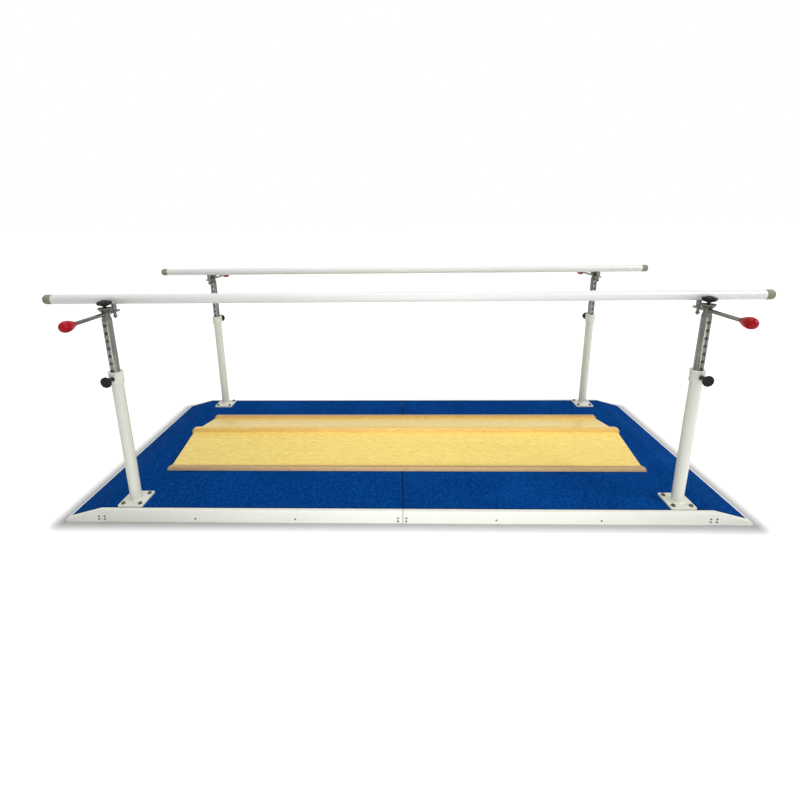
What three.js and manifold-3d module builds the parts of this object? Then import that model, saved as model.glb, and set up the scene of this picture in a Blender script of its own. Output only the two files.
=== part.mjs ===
// Walking parallel bars for gait training on a ramped platform, with a wooden correction board.
// Millimetres, +Z up. The origin is on the floor at the middle of the platform; X runs along the
// handrails and +Y points to the rear rail. "Left" is -X and "front" is -Y.
import * as THREE from 'three';
import { mergeVertices } from 'three/addons/utils/BufferGeometryUtils.js';
import Module from 'manifold-3d';

const wasm = await Module();
wasm.setup();

// Fits shared by neighbouring pieces
const SLIDE_GAP = 0.4; // radial play of a sliding or plugged round piece in its bore
const JOINT_GAP = 0.3; // joint between two pieces that butt together
const WELD_TOLERANCE = 1e-4; // distance within which two corners of a surface are one

// Platform
const PLATFORM_LENGTH = 3000;
const PLATFORM_WIDTH = 1220;
const DECK_HEIGHT = 60;
const RAMP_RUN = 160;
const RAMP_TIP_HEIGHT = 15;
const NOSE_HEIGHT = 8;
const NOSE_DEPTH = 14;
const NOSE_CHAMFER = 5;
const RAIL_WIDTH = 20;
const RAIL_CHAMFER = 2;
const MAT_THICKNESS = 4;
const PLY_THICKNESS = 16;
const BEARER_WIDTH = 40;
const BEARERS_PER_HALF = 6;

// Posts: base plate, outer tube, collar and pin boss
const POST_END_DISTANCE = 284; // from the end of the platform to the middle of a post
const PLATE_EDGE_GAP = 1.5;
const PLATE_SIZE = 111;
const PLATE_THICKNESS = 8;
const PLATE_CORNER = 6;
const PLATE_HOLE = 9;
const PLATE_HOLE_INSET = 17;
const TUBE_DIAMETER = 48;
const TUBE_WALL = 3;
const COLLAR_TOP = 681;
const COLLAR_HEIGHT = 52;
const COLLAR_DIAMETER = 57;
const COLLAR_LIP = 1.5;
const COLLAR_LIP_HEIGHT = 4;
const PIN_DROP = 26; // from the collar's top to the locking pin
const PIN_BOSS_DIAMETER = 22;
const PIN_BOSS_LENGTH = 4;

// Telescopic masts with a row of locking holes
const MAST_DIAMETER = 38;
const MAST_WALL = 2.5;
const MAST_LENGTH = 540;
const HOLE_PITCH = 32.5;
const HOLE_COUNT = 10;
const HOLE_MARGIN = 5;

// Locking pins with conical pull knobs
const PIN_DIAMETER = 13;
const PIN_PLAY = 0.5;
const PIN_KNOB_DIAMETER = 47;
const PIN_KNOB_NECK = 22;
const PIN_KNOB_LENGTH = 31;
const PIN_KNOB_GAP = 8;
const PIN_KNOB_RIM = 4;
const PIN_KNOB_CHAMFER = 2;

// Mast heads with a cross bore for the sliding rod
const HEAD_NECK_DIAMETER = 27;
const HEAD_RIM_DIAMETER = 54;
const HEAD_RISE = 25; // from the rod's axis to the rim
const HEAD_DROP = 25; // from the rod's axis to the mast's end
const HEAD_RIM_HEIGHT = 4;
const HEAD_FLARE_HEIGHT = 20;
const HEAD_FLARE_SHARES = [[0.18, 0.3], [0.6, 0.66]]; // radial and upward shares of the flare
const HEAD_DISH_DEPTH = 4;
const HEAD_DISH_WALL = 3;
const SPIGOT_LENGTH = 12;

// Star knobs that clamp the rods
const STAR_DIAMETER = 56;
const STAR_LOBES = 7;
const STAR_LOBE_DEPTH = 3.5;
const STAR_THICKNESS = 18;
const STAR_BEVEL = 5;
const STAR_DOME_HEIGHT = 4;
const STAR_DOME_DIAMETER = 27;
const STAR_DOME_SHARES = [0.66, 0.75];
const STAR_HUB_DIAMETER = 22;
const STAR_HUB_HEIGHT = 4;
const STAR_STEM_DIAMETER = 11;
const STAR_CLEARANCE = 7;

// Handrails
const BAR_DIAMETER = 42;
const BAR_WALL = 2.5;
const BAR_HEIGHT = 981;
const BAR_INSET = 57.5; // from the posts inward to the handrail
const BAR_OVERHANG = 293; // from a post to the tip of the handrail
const CAP_LENGTH = 38;
const CAP_ROUNDING = 12;
const CAP_PLUG_LENGTH = 22;

// Sliding rods, grips and bolts
const ROD_DIAMETER = 15;
const PADDLE_WIDTH = 30;
const PADDLE_THICKNESS = 8;
const PADDLE_TIP = 25;
const PADDLE_ROOT = 22;
const BOSS_DIAMETER = 20;
const BOSS_RISE = 26;
const SPACER_DIAMETER = 12;
const SPACER_LENGTH = 15;
const GRIP_DIAMETER = 44;
const GRIP_LENGTH = 68;
const GRIP_NECK = 21;
const GRIP_REACH = 249;
const GRIP_END_WALL = 14;
const GRIP_PROFILE_SHARES = [[0.16, 0.66], [0.34, 0.86], [0.54, 0.98], [0.7, 0.98], [0.86, 0.8], [0.96, 0.44]];
const BOLT_DIAMETER = 8;
const BOLT_HEAD_ACROSS_FLATS = 15;
const BOLT_HEAD_HEIGHT = 7;
const BOLT_TAIL = 6;

// Correction board
const BOARD_LENGTH = 2408;
const BOARD_WIDTH = 610;
const BOARD_X = 6; // the board is loose and lies a little off the middle
const BOARD_Y = 8;
const LIP_WIDTH = 20;
const LIP_HEIGHT = 23;
const END_ROUNDING = 24;
const EDGE_ROUNDING = 3;
const PANEL_THICKNESS = 10;
const PANEL_LOW_EDGE = 10;
const PANEL_HIGH_EDGE = 64;
const PANEL_INSET = 10;
const RIDGE_WIDTH = 20;
const RIDGE_TOP = 88;
const SPINE_INSET = 40;

// Facets of the round pieces
const ROUND = 20;
const SMALL_ROUND = 16;
const HOLE_ROUND = 8;
const CORNER_STEPS = 2;
const LOBE_STEPS = 4;

const PAINT = { color: 0xf1efe4, roughness: 0.4, metalness: 0.0 };
const RAIL_PAINT = { color: 0xecece0, roughness: 0.45, metalness: 0.0 };
const BAR_COAT = { color: 0xf4f4f0, roughness: 0.3, metalness: 0.0 };
const ZINC = { color: 0x8a8d88, roughness: 0.35, metalness: 0.9 };
const BLACK_PLASTIC = { color: 0x111111, roughness: 0.45, metalness: 0.0 };
const RED_PLASTIC = { color: 0xc20f24, roughness: 0.35, metalness: 0.0 };
const CAP_PLASTIC = { color: 0x98947f, roughness: 0.5, metalness: 0.0 };
const MAT_BLUE = { color: 0x063d86, roughness: 0.7, metalness: 0.0 };
const PLYWOOD = { color: 0xb98f5e, roughness: 0.7, metalness: 0.0 };
const BOARD_WOOD = { color: 0xecc98f, roughness: 0.35, metalness: 0.0 };
const RIDGE_WOOD = { color: 0xdfa866, roughness: 0.35, metalness: 0.0 };

const model = new THREE.Group();

/** Adds one named piece to a group. */
function addPiece(parent, name, geometry, finish) {
  const mesh = new THREE.Mesh(geometry, new THREE.MeshStandardMaterial(finish));
  mesh.name = name;
  parent.add(mesh);
  return mesh;
}

/** Outline from a list of [x, y] points. */
function outline(points) {
  return new THREE.Shape(points.map(([x, y]) => new THREE.Vector2(x, y)));
}

/** Extrudes an outline given in X and Z between two values of Y. */
function alongY(points, yMin, yMax) {
  const geometry = new THREE.ExtrudeGeometry(outline(points), { depth: 1, bevelEnabled: false });
  const position = geometry.getAttribute('position');
  for (let i = 0; i < position.count; i += 1) {
    const y = position.getZ(i) > 0.5 ? yMin : yMax;
    position.setXYZ(i, position.getX(i), y, position.getY(i));
  }
  return geometry;
}

/** Extrudes an outline given in Y and Z between two values of X. */
function alongX(points, xMin, xMax) {
  const geometry = new THREE.ExtrudeGeometry(outline(points), { depth: 1, bevelEnabled: false });
  const position = geometry.getAttribute('position');
  for (let i = 0; i < position.count; i += 1) {
    const x = position.getZ(i) > 0.5 ? xMax : xMin;
    position.setXYZ(i, x, position.getX(i), position.getY(i));
  }
  return geometry;
}

/** Turns a profile of [radius, height] points about the Z axis. */
function turned(profile, segments = ROUND) {
  const points = profile.map(([r, z]) => new THREE.Vector2(r, z));
  const geometry = new THREE.LatheGeometry(points, segments);
  geometry.rotateX(Math.PI / 2);
  return geometry;
}

/** Solid round bar along Z. */
function rod(diameter, zMin, zMax, segments = SMALL_ROUND) {
  return turned([[0, zMin], [diameter / 2, zMin], [diameter / 2, zMax], [0, zMax]], segments);
}

/** Solid round bar along Y at the given height. */
function crossRod(diameter, yMin, yMax, height, segments = SMALL_ROUND) {
  const geometry = rod(diameter, -yMax, -yMin, segments);
  geometry.rotateX(Math.PI / 2);
  geometry.translate(0, 0, height);
  return geometry;
}

/** Diameter of a faceted bore whose flats, not its corners, lie on the given circle. */
function boreDiameter(diameter) {
  return diameter / Math.cos(Math.PI / HOLE_ROUND);
}

/** Closed solid with shared vertices, ready to be joined or cut. */
function toSolid(geometry) {
  const bare = geometry.clone();
  bare.deleteAttribute('normal');
  bare.deleteAttribute('uv');
  const merged = mergeVertices(bare, WELD_TOLERANCE);
  const index = merged.getIndex().array;
  const triangles = [];
  for (let i = 0; i < index.length; i += 3) {
    const [a, b, c] = [index[i], index[i + 1], index[i + 2]];
    if (a !== b && b !== c && c !== a) {
      triangles.push(a, b, c);
    }
  }
  const mesh = new wasm.Mesh({
    numProp: 3,
    vertProperties: new Float32Array(merged.getAttribute('position').array),
    triVerts: new Uint32Array(triangles),
  });
  return new wasm.Manifold(mesh);
}

/** Geometry of a finished solid. */
function toGeometry(solid) {
  const mesh = solid.getMesh();
  const geometry = new THREE.BufferGeometry();
  geometry.setAttribute('position', new THREE.BufferAttribute(new Float32Array(mesh.vertProperties), 3));
  geometry.setIndex(new THREE.BufferAttribute(new Uint32Array(mesh.triVerts), 1));
  geometry.computeVertexNormals();
  return geometry;
}

/** Joins some geometries and cuts others out of the result. */
function carve(joined, cuts = []) {
  let solid = toSolid(joined[0]);
  for (const piece of joined.slice(1)) {
    solid = solid.add(toSolid(piece));
  }
  for (const cut of cuts) {
    solid = solid.subtract(toSolid(cut));
  }
  return toGeometry(solid);
}

/** Points of a quarter turn about a centre, from one angle to the other. */
function arc(cx, cy, radius, from, to, steps = CORNER_STEPS) {
  const points = [];
  for (let i = 0; i <= steps; i += 1) {
    const angle = from + ((to - from) * i) / steps;
    points.push([cx + radius * Math.cos(angle), cy + radius * Math.sin(angle)]);
  }
  return points;
}

/** Mirrors a list of points in the first coordinate. */
function mirrored(points) {
  return points.map(([x, y]) => [-x, y]).reverse();
}

const SIDES = [['left', -1], ['right', 1]];
const ROWS = [['front', -1], ['rear', 1]];

const halfLength = PLATFORM_LENGTH / 2;
const halfWidth = PLATFORM_WIDTH / 2;
const deckEdge = halfWidth - RAIL_WIDTH;
const flatEnd = halfLength - RAMP_RUN;
const rampStart = flatEnd + JOINT_GAP;
const seam = JOINT_GAP / 2;
const noseStart = halfLength - NOSE_DEPTH;
const rampEnd = noseStart - JOINT_GAP;
const plyTop = DECK_HEIGHT - MAT_THICKNESS;
const postX = halfLength - POST_END_DISTANCE;
const postY = deckEdge - PLATE_EDGE_GAP - PLATE_SIZE / 2;
const barY = postY - BAR_INSET;
const barEnd = postX + BAR_OVERHANG;
const barBottom = BAR_HEIGHT - BAR_DIAMETER / 2;
const paddleTop = barBottom - BOSS_RISE;
const paddleBottom = paddleTop - PADDLE_THICKNESS;
const rodHeight = (paddleTop + paddleBottom) / 2;
const rimTop = rodHeight + HEAD_RISE;
const mastTop = rodHeight - HEAD_DROP;
const pinHeight = COLLAR_TOP - PIN_DROP;

/** Height of the ramp surface at a distance from the middle of the platform. */
function rampHeight(x) {
  return DECK_HEIGHT - ((DECK_HEIGHT - RAMP_TIP_HEIGHT) * (x - flatEnd)) / RAMP_RUN;
}

/** Deck panel with its bearers glued below, as one comb-shaped section. */
function deckPanelOutline() {
  const plyBottom = plyTop - PLY_THICKNESS;
  const points = [[seam, plyTop], [seam, 0]];
  const pitch = (flatEnd - seam - BEARER_WIDTH) / (BEARERS_PER_HALF - 1);
  for (let i = 0; i < BEARERS_PER_HALF - 1; i += 1) {
    const right = seam + pitch * i + BEARER_WIDTH;
    const next = seam + pitch * (i + 1);
    points.push([right, 0], [right, plyBottom], [next, plyBottom], [next, 0]);
  }
  points.push([flatEnd, 0], [flatEnd, plyTop]);
  return points;
}

const rampBoardOutline = [
  [rampStart, 0],
  [rampEnd, 0],
  [rampEnd, rampHeight(rampEnd) - MAT_THICKNESS],
  [rampStart, rampHeight(rampStart) - MAT_THICKNESS],
];
const matOutline = [
  [seam, plyTop],
  [flatEnd, plyTop],
  [rampEnd, rampHeight(rampEnd) - MAT_THICKNESS],
  [rampEnd, rampHeight(rampEnd)],
  [flatEnd, DECK_HEIGHT],
  [seam, DECK_HEIGHT],
];
const noseOutline = [
  [noseStart, 0],
  [halfLength, 0],
  [halfLength, NOSE_HEIGHT],
  [halfLength - NOSE_CHAMFER, rampHeight(halfLength - NOSE_CHAMFER)],
  [noseStart, rampHeight(noseStart)],
];
const cheekOutline = [
  [rampStart, 0],
  [halfLength, 0],
  [halfLength, NOSE_HEIGHT],
  [halfLength - NOSE_CHAMFER, rampHeight(halfLength - NOSE_CHAMFER)],
  [rampStart, rampHeight(rampStart)],
];

for (const [side, sx] of SIDES) {
  const placed = (points) => (sx > 0 ? points : mirrored(points));
  addPiece(model, `deck_panel_${side}`, alongY(placed(deckPanelOutline()), -deckEdge, deckEdge), PLYWOOD);
  addPiece(model, `ramp_board_${side}`, alongY(placed(rampBoardOutline), -deckEdge, deckEdge), PLYWOOD);
  addPiece(model, `mat_${side}`, alongY(placed(matOutline), -deckEdge, deckEdge), MAT_BLUE);
  addPiece(model, `nosing_${side}`, alongY(placed(noseOutline), -deckEdge, deckEdge), RAIL_PAINT);
  for (const [row, sy] of ROWS) {
    const inner = sy * deckEdge;
    const outer = sy * halfWidth;
    const railOutline = [
      [inner, 0],
      [outer, 0],
      [outer, DECK_HEIGHT - RAIL_CHAMFER],
      [outer - sy * RAIL_CHAMFER, DECK_HEIGHT],
      [inner, DECK_HEIGHT],
    ];
    const [xMin, xMax] = sx > 0 ? [seam, flatEnd] : [-flatEnd, -seam];
    const [yMin, yMax] = sy > 0 ? [inner, outer] : [outer, inner];
    const section = sy > 0 ? railOutline : [...railOutline].reverse();
    addPiece(model, `side_rail_${row}_${side}`, alongX(section, xMin, xMax), RAIL_PAINT);
    addPiece(model, `ramp_cheek_${row}_${side}`, alongY(placed(cheekOutline), yMin, yMax), RAIL_PAINT);
  }
}

const pinBoreDiameter = boreDiameter(PIN_DIAMETER + 2 * PIN_PLAY);

/** Outer tube welded on a base plate, with the collar and the pin boss. */
function postGeometry() {
  const half = PLATE_SIZE / 2 - PLATE_CORNER;
  const plateShape = outline([
    ...arc(half, half, PLATE_CORNER, 0, Math.PI / 2),
    ...arc(-half, half, PLATE_CORNER, Math.PI / 2, Math.PI),
    ...arc(-half, -half, PLATE_CORNER, Math.PI, 1.5 * Math.PI),
    ...arc(half, -half, PLATE_CORNER, 1.5 * Math.PI, 2 * Math.PI),
  ]);
  const holeAt = PLATE_SIZE / 2 - PLATE_HOLE_INSET;
  for (const sx of [-1, 1]) {
    for (const sy of [-1, 1]) {
      const rim = arc(sx * holeAt, sy * holeAt, PLATE_HOLE / 2, 0, 2 * Math.PI, HOLE_ROUND).slice(1);
      plateShape.holes.push(outline(rim));
    }
  }
  const plate = new THREE.ExtrudeGeometry(plateShape, { depth: PLATE_THICKNESS, bevelEnabled: false });
  plate.translate(0, 0, DECK_HEIGHT);
  const outer = TUBE_DIAMETER / 2;
  const inner = outer - TUBE_WALL;
  const bore = MAST_DIAMETER / 2 + SLIDE_GAP;
  const collar = COLLAR_DIAMETER / 2;
  const collarBottom = COLLAR_TOP - COLLAR_HEIGHT;
  const lipBottom = COLLAR_TOP - COLLAR_LIP_HEIGHT;
  const tubeBottom = DECK_HEIGHT + PLATE_THICKNESS / 2;
  const tube = turned([
    [outer, tubeBottom],
    [outer, collarBottom],
    [collar, collarBottom],
    [collar, lipBottom],
    [collar + COLLAR_LIP, lipBottom],
    [collar + COLLAR_LIP, COLLAR_TOP],
    [bore, COLLAR_TOP],
    [bore, collarBottom],
    [inner, collarBottom],
    [inner, tubeBottom],
    [outer, tubeBottom],
  ]);
  const bossFace = -(collar + PIN_BOSS_LENGTH);
  const boss = crossRod(PIN_BOSS_DIAMETER, bossFace, -(bore + SLIDE_GAP), pinHeight);
  const pinBore = crossRod(pinBoreDiameter, bossFace - PIN_BOSS_LENGTH, 0, pinHeight, HOLE_ROUND);
  return carve([plate, tube, boss], [pinBore]);
}

/** Inner tube with the row of locking holes through both walls. */
function mastGeometry() {
  const outer = MAST_DIAMETER / 2;
  const inner = outer - MAST_WALL;
  const bottom = mastTop - MAST_LENGTH;
  const tube = turned([
    [outer, bottom],
    [outer, mastTop],
    [inner, mastTop],
    [inner, bottom],
    [outer, bottom],
  ]);
  const cuts = [];
  const holeLimit = mastTop - SPIGOT_LENGTH - HOLE_MARGIN;
  const topHole = pinHeight + HOLE_PITCH * Math.floor((holeLimit - pinHeight) / HOLE_PITCH);
  for (let i = 0; i < HOLE_COUNT; i += 1) {
    const height = topHole - HOLE_PITCH * i;
    cuts.push(crossRod(pinBoreDiameter, -MAST_DIAMETER, MAST_DIAMETER, height, HOLE_ROUND));
  }
  return carve([tube], cuts);
}

/** Flared head: a spigot in the mast, a tapered neck with a cross bore for the rod, a bore for the knob's stem. */
function headGeometry() {
  const rim = HEAD_RIM_DIAMETER / 2;
  const neck = HEAD_NECK_DIAMETER / 2;
  const shoulder = MAST_DIAMETER / 2;
  const spigot = shoulder - MAST_WALL - SLIDE_GAP;
  const rimBottom = rimTop - HEAD_RIM_HEIGHT;
  const flareBottom = rimBottom - HEAD_FLARE_HEIGHT;
  const flare = HEAD_FLARE_SHARES.map(([radial, upward]) => [
    neck + (rim - neck) * radial,
    flareBottom + HEAD_FLARE_HEIGHT * upward,
  ]);
  const head = turned([
    [0, mastTop - SPIGOT_LENGTH],
    [spigot, mastTop - SPIGOT_LENGTH],
    [spigot, mastTop],
    [shoulder, mastTop],
    [neck, flareBottom],
    ...flare,
    [rim, rimBottom],
    [rim, rimTop],
    [rim - HEAD_DISH_WALL, rimTop],
    [rim - HEAD_DISH_WALL - HEAD_DISH_DEPTH, rimTop - HEAD_DISH_DEPTH],
    [0, rimTop - HEAD_DISH_DEPTH],
  ]);
  const rodBore = crossRod(ROD_DIAMETER + 2 * SLIDE_GAP, -HEAD_RIM_DIAMETER, HEAD_RIM_DIAMETER, rodHeight);
  const stemBore = rod(STAR_STEM_DIAMETER + 2 * SLIDE_GAP, rodHeight, rimTop + HEAD_DISH_DEPTH);
  return carve([head], [rodBore, stemBore]);
}

/** Star knob: stem, hub, lobed body and a low dome. */
function starKnobGeometry() {
  const hubBottom = rimTop + STAR_CLEARANCE;
  const bodyBottom = hubBottom + STAR_HUB_HEIGHT;
  const bodyTop = bodyBottom + STAR_THICKNESS;
  const stemBottom = rodHeight + ROD_DIAMETER / 2 + SLIDE_GAP;
  const overlap = STAR_HUB_HEIGHT;
  const points = [];
  const steps = STAR_LOBES * LOBE_STEPS;
  for (let i = 0; i < steps; i += 1) {
    const angle = (2 * Math.PI * i) / steps;
    const wave = (1 - Math.cos(STAR_LOBES * angle)) / 2;
    const radius = STAR_DIAMETER / 2 - STAR_LOBE_DEPTH * (1 - wave);
    points.push([radius * Math.cos(angle), radius * Math.sin(angle)]);
  }
  const body = new THREE.ExtrudeGeometry(outline(points), {
    depth: STAR_THICKNESS - 2 * STAR_BEVEL,
    bevelEnabled: true,
    bevelThickness: STAR_BEVEL,
    bevelSize: STAR_BEVEL,
    bevelOffset: -STAR_BEVEL,
    bevelSegments: 1,
  });
  body.translate(0, 0, bodyBottom + STAR_BEVEL);
  const core = turned([
    [0, stemBottom],
    [STAR_STEM_DIAMETER / 2, stemBottom],
    [STAR_STEM_DIAMETER / 2, hubBottom],
    [STAR_HUB_DIAMETER / 2, hubBottom],
    [STAR_HUB_DIAMETER / 2, bodyBottom + overlap],
    [STAR_DOME_DIAMETER / 2, bodyTop - overlap],
    [STAR_DOME_DIAMETER / 2, bodyTop],
    [(STAR_DOME_DIAMETER / 2) * STAR_DOME_SHARES[0], bodyTop + STAR_DOME_HEIGHT * STAR_DOME_SHARES[1]],
    [0, bodyTop + STAR_DOME_HEIGHT],
  ], SMALL_ROUND);
  return carve([body, core]);
}

/** Locking pin with its conical pull knob, drawn just clear of the mast. */
function pinKnobGeometry() {
  const tip = MAST_DIAMETER / 2 + PIN_PLAY;
  const knobStart = COLLAR_DIAMETER / 2 + PIN_BOSS_LENGTH + PIN_KNOB_GAP;
  const knobEnd = knobStart + PIN_KNOB_LENGTH;
  const geometry = turned([
    [0, tip],
    [PIN_DIAMETER / 2, tip],
    [PIN_DIAMETER / 2, knobStart],
    [PIN_KNOB_NECK / 2, knobStart],
    [PIN_KNOB_DIAMETER / 2, knobEnd - PIN_KNOB_RIM],
    [PIN_KNOB_DIAMETER / 2, knobEnd - PIN_KNOB_CHAMFER],
    [PIN_KNOB_DIAMETER / 2 - PIN_KNOB_CHAMFER, knobEnd],
    [0, knobEnd],
  ], SMALL_ROUND);
  geometry.rotateX(Math.PI / 2);
  geometry.translate(0, 0, pinHeight);
  return geometry;
}

const gripInnerEnd = GRIP_REACH - GRIP_LENGTH;

/** Rod through the head, with a flat rounded inner end that carries the handrail on a boss. */
function slideRodGeometry() {
  const shaft = crossRod(ROD_DIAMETER, -(GRIP_REACH - GRIP_END_WALL), BAR_INSET - PADDLE_ROOT / 2, rodHeight);
  const half = PADDLE_WIDTH / 2;
  const tipCentre = BAR_INSET + PADDLE_TIP - half;
  const paddle = new THREE.ExtrudeGeometry(outline([
    [-half, BAR_INSET - PADDLE_ROOT],
    [half, BAR_INSET - PADDLE_ROOT],
    ...arc(0, tipCentre, half, 0, Math.PI, 3 * CORNER_STEPS),
  ]), { depth: PADDLE_THICKNESS, bevelEnabled: false });
  paddle.translate(0, 0, paddleBottom);
  const boss = rod(BOSS_DIAMETER, rodHeight, BAR_HEIGHT);
  boss.translate(0, BAR_INSET, 0);
  const spacer = rod(SPACER_DIAMETER, paddleBottom - SPACER_LENGTH, rodHeight, HOLE_ROUND);
  spacer.translate(0, BAR_INSET, 0);
  const saddleRadius = BAR_DIAMETER / 2 + JOINT_GAP;
  const saddle = turned([[0, -BAR_DIAMETER], [saddleRadius, -BAR_DIAMETER], [saddleRadius, BAR_DIAMETER],
    [0, BAR_DIAMETER]]);
  saddle.rotateY(Math.PI / 2);
  saddle.translate(0, BAR_INSET, BAR_HEIGHT);
  const boltBore = rod(BOLT_DIAMETER + 2 * SLIDE_GAP, paddleBottom - 2 * SPACER_LENGTH, BAR_HEIGHT, HOLE_ROUND);
  boltBore.translate(0, BAR_INSET, 0);
  return carve([shaft, paddle, boss, spacer], [saddle, boltBore]);
}

/** Egg-shaped grip pushed over the outer end of the rod. */
function gripGeometry() {
  const bore = ROD_DIAMETER / 2 + SLIDE_GAP;
  const boreEnd = GRIP_REACH - GRIP_END_WALL + SLIDE_GAP;
  const neck = GRIP_NECK / 2;
  const profile = [[0, boreEnd], [bore, boreEnd], [bore, gripInnerEnd], [neck, gripInnerEnd]];
  for (const [along, radial] of GRIP_PROFILE_SHARES) {
    profile.push([(GRIP_DIAMETER / 2) * radial, gripInnerEnd + GRIP_LENGTH * along]);
  }
  profile.push([0, GRIP_REACH]);
  const geometry = turned(profile, SMALL_ROUND);
  geometry.rotateX(Math.PI / 2);
  geometry.translate(0, 0, rodHeight);
  return geometry;
}

/** Bolt from below through the spacer, the flat end and the boss into the handrail. */
function barBoltGeometry() {
  const headTop = paddleBottom - SPACER_LENGTH - JOINT_GAP;
  const headRadius = BOLT_HEAD_ACROSS_FLATS / Math.sqrt(3);
  const head = rod(2 * headRadius, headTop - BOLT_HEAD_HEIGHT, headTop, 6);
  const shank = rod(BOLT_DIAMETER, headTop - BOLT_HEAD_HEIGHT / 2, barBottom + BAR_WALL + BOLT_TAIL, HOLE_ROUND);
  const bolt = carve([head, shank]);
  bolt.translate(0, BAR_INSET, 0);
  return bolt;
}

/** Rounded plug that closes the end of a handrail, built along +X. */
function endCapGeometry() {
  const radius = BAR_DIAMETER / 2;
  const plug = radius - BAR_WALL - SLIDE_GAP;
  const start = barEnd - CAP_LENGTH + JOINT_GAP;
  const end = barEnd;
  const profile = [
    [0, start - CAP_PLUG_LENGTH],
    [plug, start - CAP_PLUG_LENGTH],
    [plug, start],
    [radius, start],
    ...arc(radius - CAP_ROUNDING, end - CAP_ROUNDING, CAP_ROUNDING, 0, Math.PI / 2, CORNER_STEPS),
    [0, end],
  ];
  const geometry = turned(profile);
  geometry.rotateY(Math.PI / 2);
  return geometry;
}

/** Handrail tube with a bolt hole below each boss. */
function barGeometry() {
  const outer = BAR_DIAMETER / 2;
  const inner = outer - BAR_WALL;
  const end = barEnd - CAP_LENGTH;
  const tube = turned([[outer, -end], [outer, end], [inner, end], [inner, -end], [outer, -end]]);
  tube.rotateY(Math.PI / 2);
  const cuts = SIDES.map(([, sx]) => {
    const hole = rod(BOLT_DIAMETER + 2 * SLIDE_GAP, -BAR_DIAMETER, 0, HOLE_ROUND);
    hole.translate(sx * postX, 0, 0);
    return hole;
  });
  return carve([tube], cuts);
}

for (const [row, sy] of ROWS) {
  const rail = new THREE.Group();
  rail.position.set(0, sy * barY, BAR_HEIGHT);
  model.add(rail);
  addPiece(rail, `bar_${row}`, barGeometry(), BAR_COAT);
  for (const [side, sx] of SIDES) {
    const cap = addPiece(rail, `end_cap_${row}_${side}`, endCapGeometry(), CAP_PLASTIC);
    cap.rotation.z = sx > 0 ? 0 : Math.PI;
    const corner = new THREE.Group();
    corner.position.set(sx * postX, sy * postY, 0);
    corner.rotation.z = sy < 0 ? 0 : Math.PI;
    model.add(corner);
    const name = (piece) => `${piece}_${row}_${side}`;
    addPiece(corner, name('post'), postGeometry(), PAINT);
    addPiece(corner, name('mast'), mastGeometry(), ZINC);
    addPiece(corner, name('head'), headGeometry(), ZINC);
    addPiece(corner, name('star_knob'), starKnobGeometry(), BLACK_PLASTIC);
    addPiece(corner, name('pin_knob'), pinKnobGeometry(), BLACK_PLASTIC);
    addPiece(corner, name('slide_rod'), slideRodGeometry(), ZINC);
    addPiece(corner, name('grip'), gripGeometry(), RED_PLASTIC);
    addPiece(corner, name('bar_bolt'), barBoltGeometry(), ZINC);
  }
}

/** Batten across the board with rounded upper ends, its edges eased. */
function battenGeometry(bottom, top, width, yCentre) {
  const half = BOARD_LENGTH / 2;
  const rounding = Math.min(END_ROUNDING, top - bottom - 2 * EDGE_ROUNDING);
  const shape = outline([
    [-half, bottom],
    [half, bottom],
    ...arc(half - rounding, top - rounding, rounding, 0, Math.PI / 2, 2 * CORNER_STEPS),
    ...arc(-half + rounding, top - rounding, rounding, Math.PI / 2, Math.PI, 2 * CORNER_STEPS),
  ]);
  const batten = new THREE.ExtrudeGeometry(shape, {
    depth: width - 2 * EDGE_ROUNDING,
    bevelEnabled: true,
    bevelThickness: EDGE_ROUNDING,
    bevelSize: EDGE_ROUNDING,
    bevelOffset: -EDGE_ROUNDING,
    bevelSegments: 2,
  });
  batten.rotateX(Math.PI / 2);
  batten.translate(BOARD_X, yCentre + width / 2 - EDGE_ROUNDING, 0);
  return batten;
}

const boardBase = DECK_HEIGHT;
const boardHalf = BOARD_WIDTH / 2;
const ridgeHalf = RIDGE_WIDTH / 2;
const panelHighTop = boardBase + PANEL_HIGH_EDGE;
const panelLowTop = boardBase + PANEL_LOW_EDGE;
const ridgeBottom = panelHighTop - PANEL_THICKNESS;
const panelEnd = BOARD_LENGTH / 2 - PANEL_INSET;

for (const [row, sy] of ROWS) {
  const lipCentre = BOARD_Y + sy * (boardHalf - LIP_WIDTH / 2);
  addPiece(model, `board_lip_${row}`,
    battenGeometry(boardBase, boardBase + LIP_HEIGHT, LIP_WIDTH, lipCentre), RIDGE_WOOD);
  const low = BOARD_Y + sy * (boardHalf - LIP_WIDTH);
  const high = BOARD_Y + sy * ridgeHalf;
  const panel = [
    [low, panelLowTop - PANEL_THICKNESS],
    [low, panelLowTop],
    [high, panelHighTop],
    [high, ridgeBottom],
  ];
  addPiece(model, `board_panel_${row}`, alongX(panel, BOARD_X - panelEnd, BOARD_X + panelEnd), BOARD_WOOD);
}
addPiece(model, 'board_ridge',
  battenGeometry(ridgeBottom, boardBase + RIDGE_TOP, RIDGE_WIDTH, BOARD_Y), RIDGE_WOOD);
const spineEnd = BOARD_LENGTH / 2 - SPINE_INSET;
addPiece(model, 'board_spine', alongX([
  [BOARD_Y - ridgeHalf, boardBase],
  [BOARD_Y + ridgeHalf, boardBase],
  [BOARD_Y + ridgeHalf, ridgeBottom],
  [BOARD_Y - ridgeHalf, ridgeBottom],
], BOARD_X - spineEnd, BOARD_X + spineEnd), PLYWOOD);

export default model;
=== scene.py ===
"""Looks of a set of height-adjustable walking parallel bars on a low ramped platform.

Metres, +Z up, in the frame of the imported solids: the floor is at zero, X runs along the handrails and
+Y points to the rear one. "Left" is -X and "front" is -Y. Every piece stands where the solid stands
that it replaces, and rides on that solid's body.
"""

from __future__ import annotations

import logging
import math
from collections.abc import Callable, Sequence
from dataclasses import dataclass, field
from enum import Enum
from functools import cache

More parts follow.
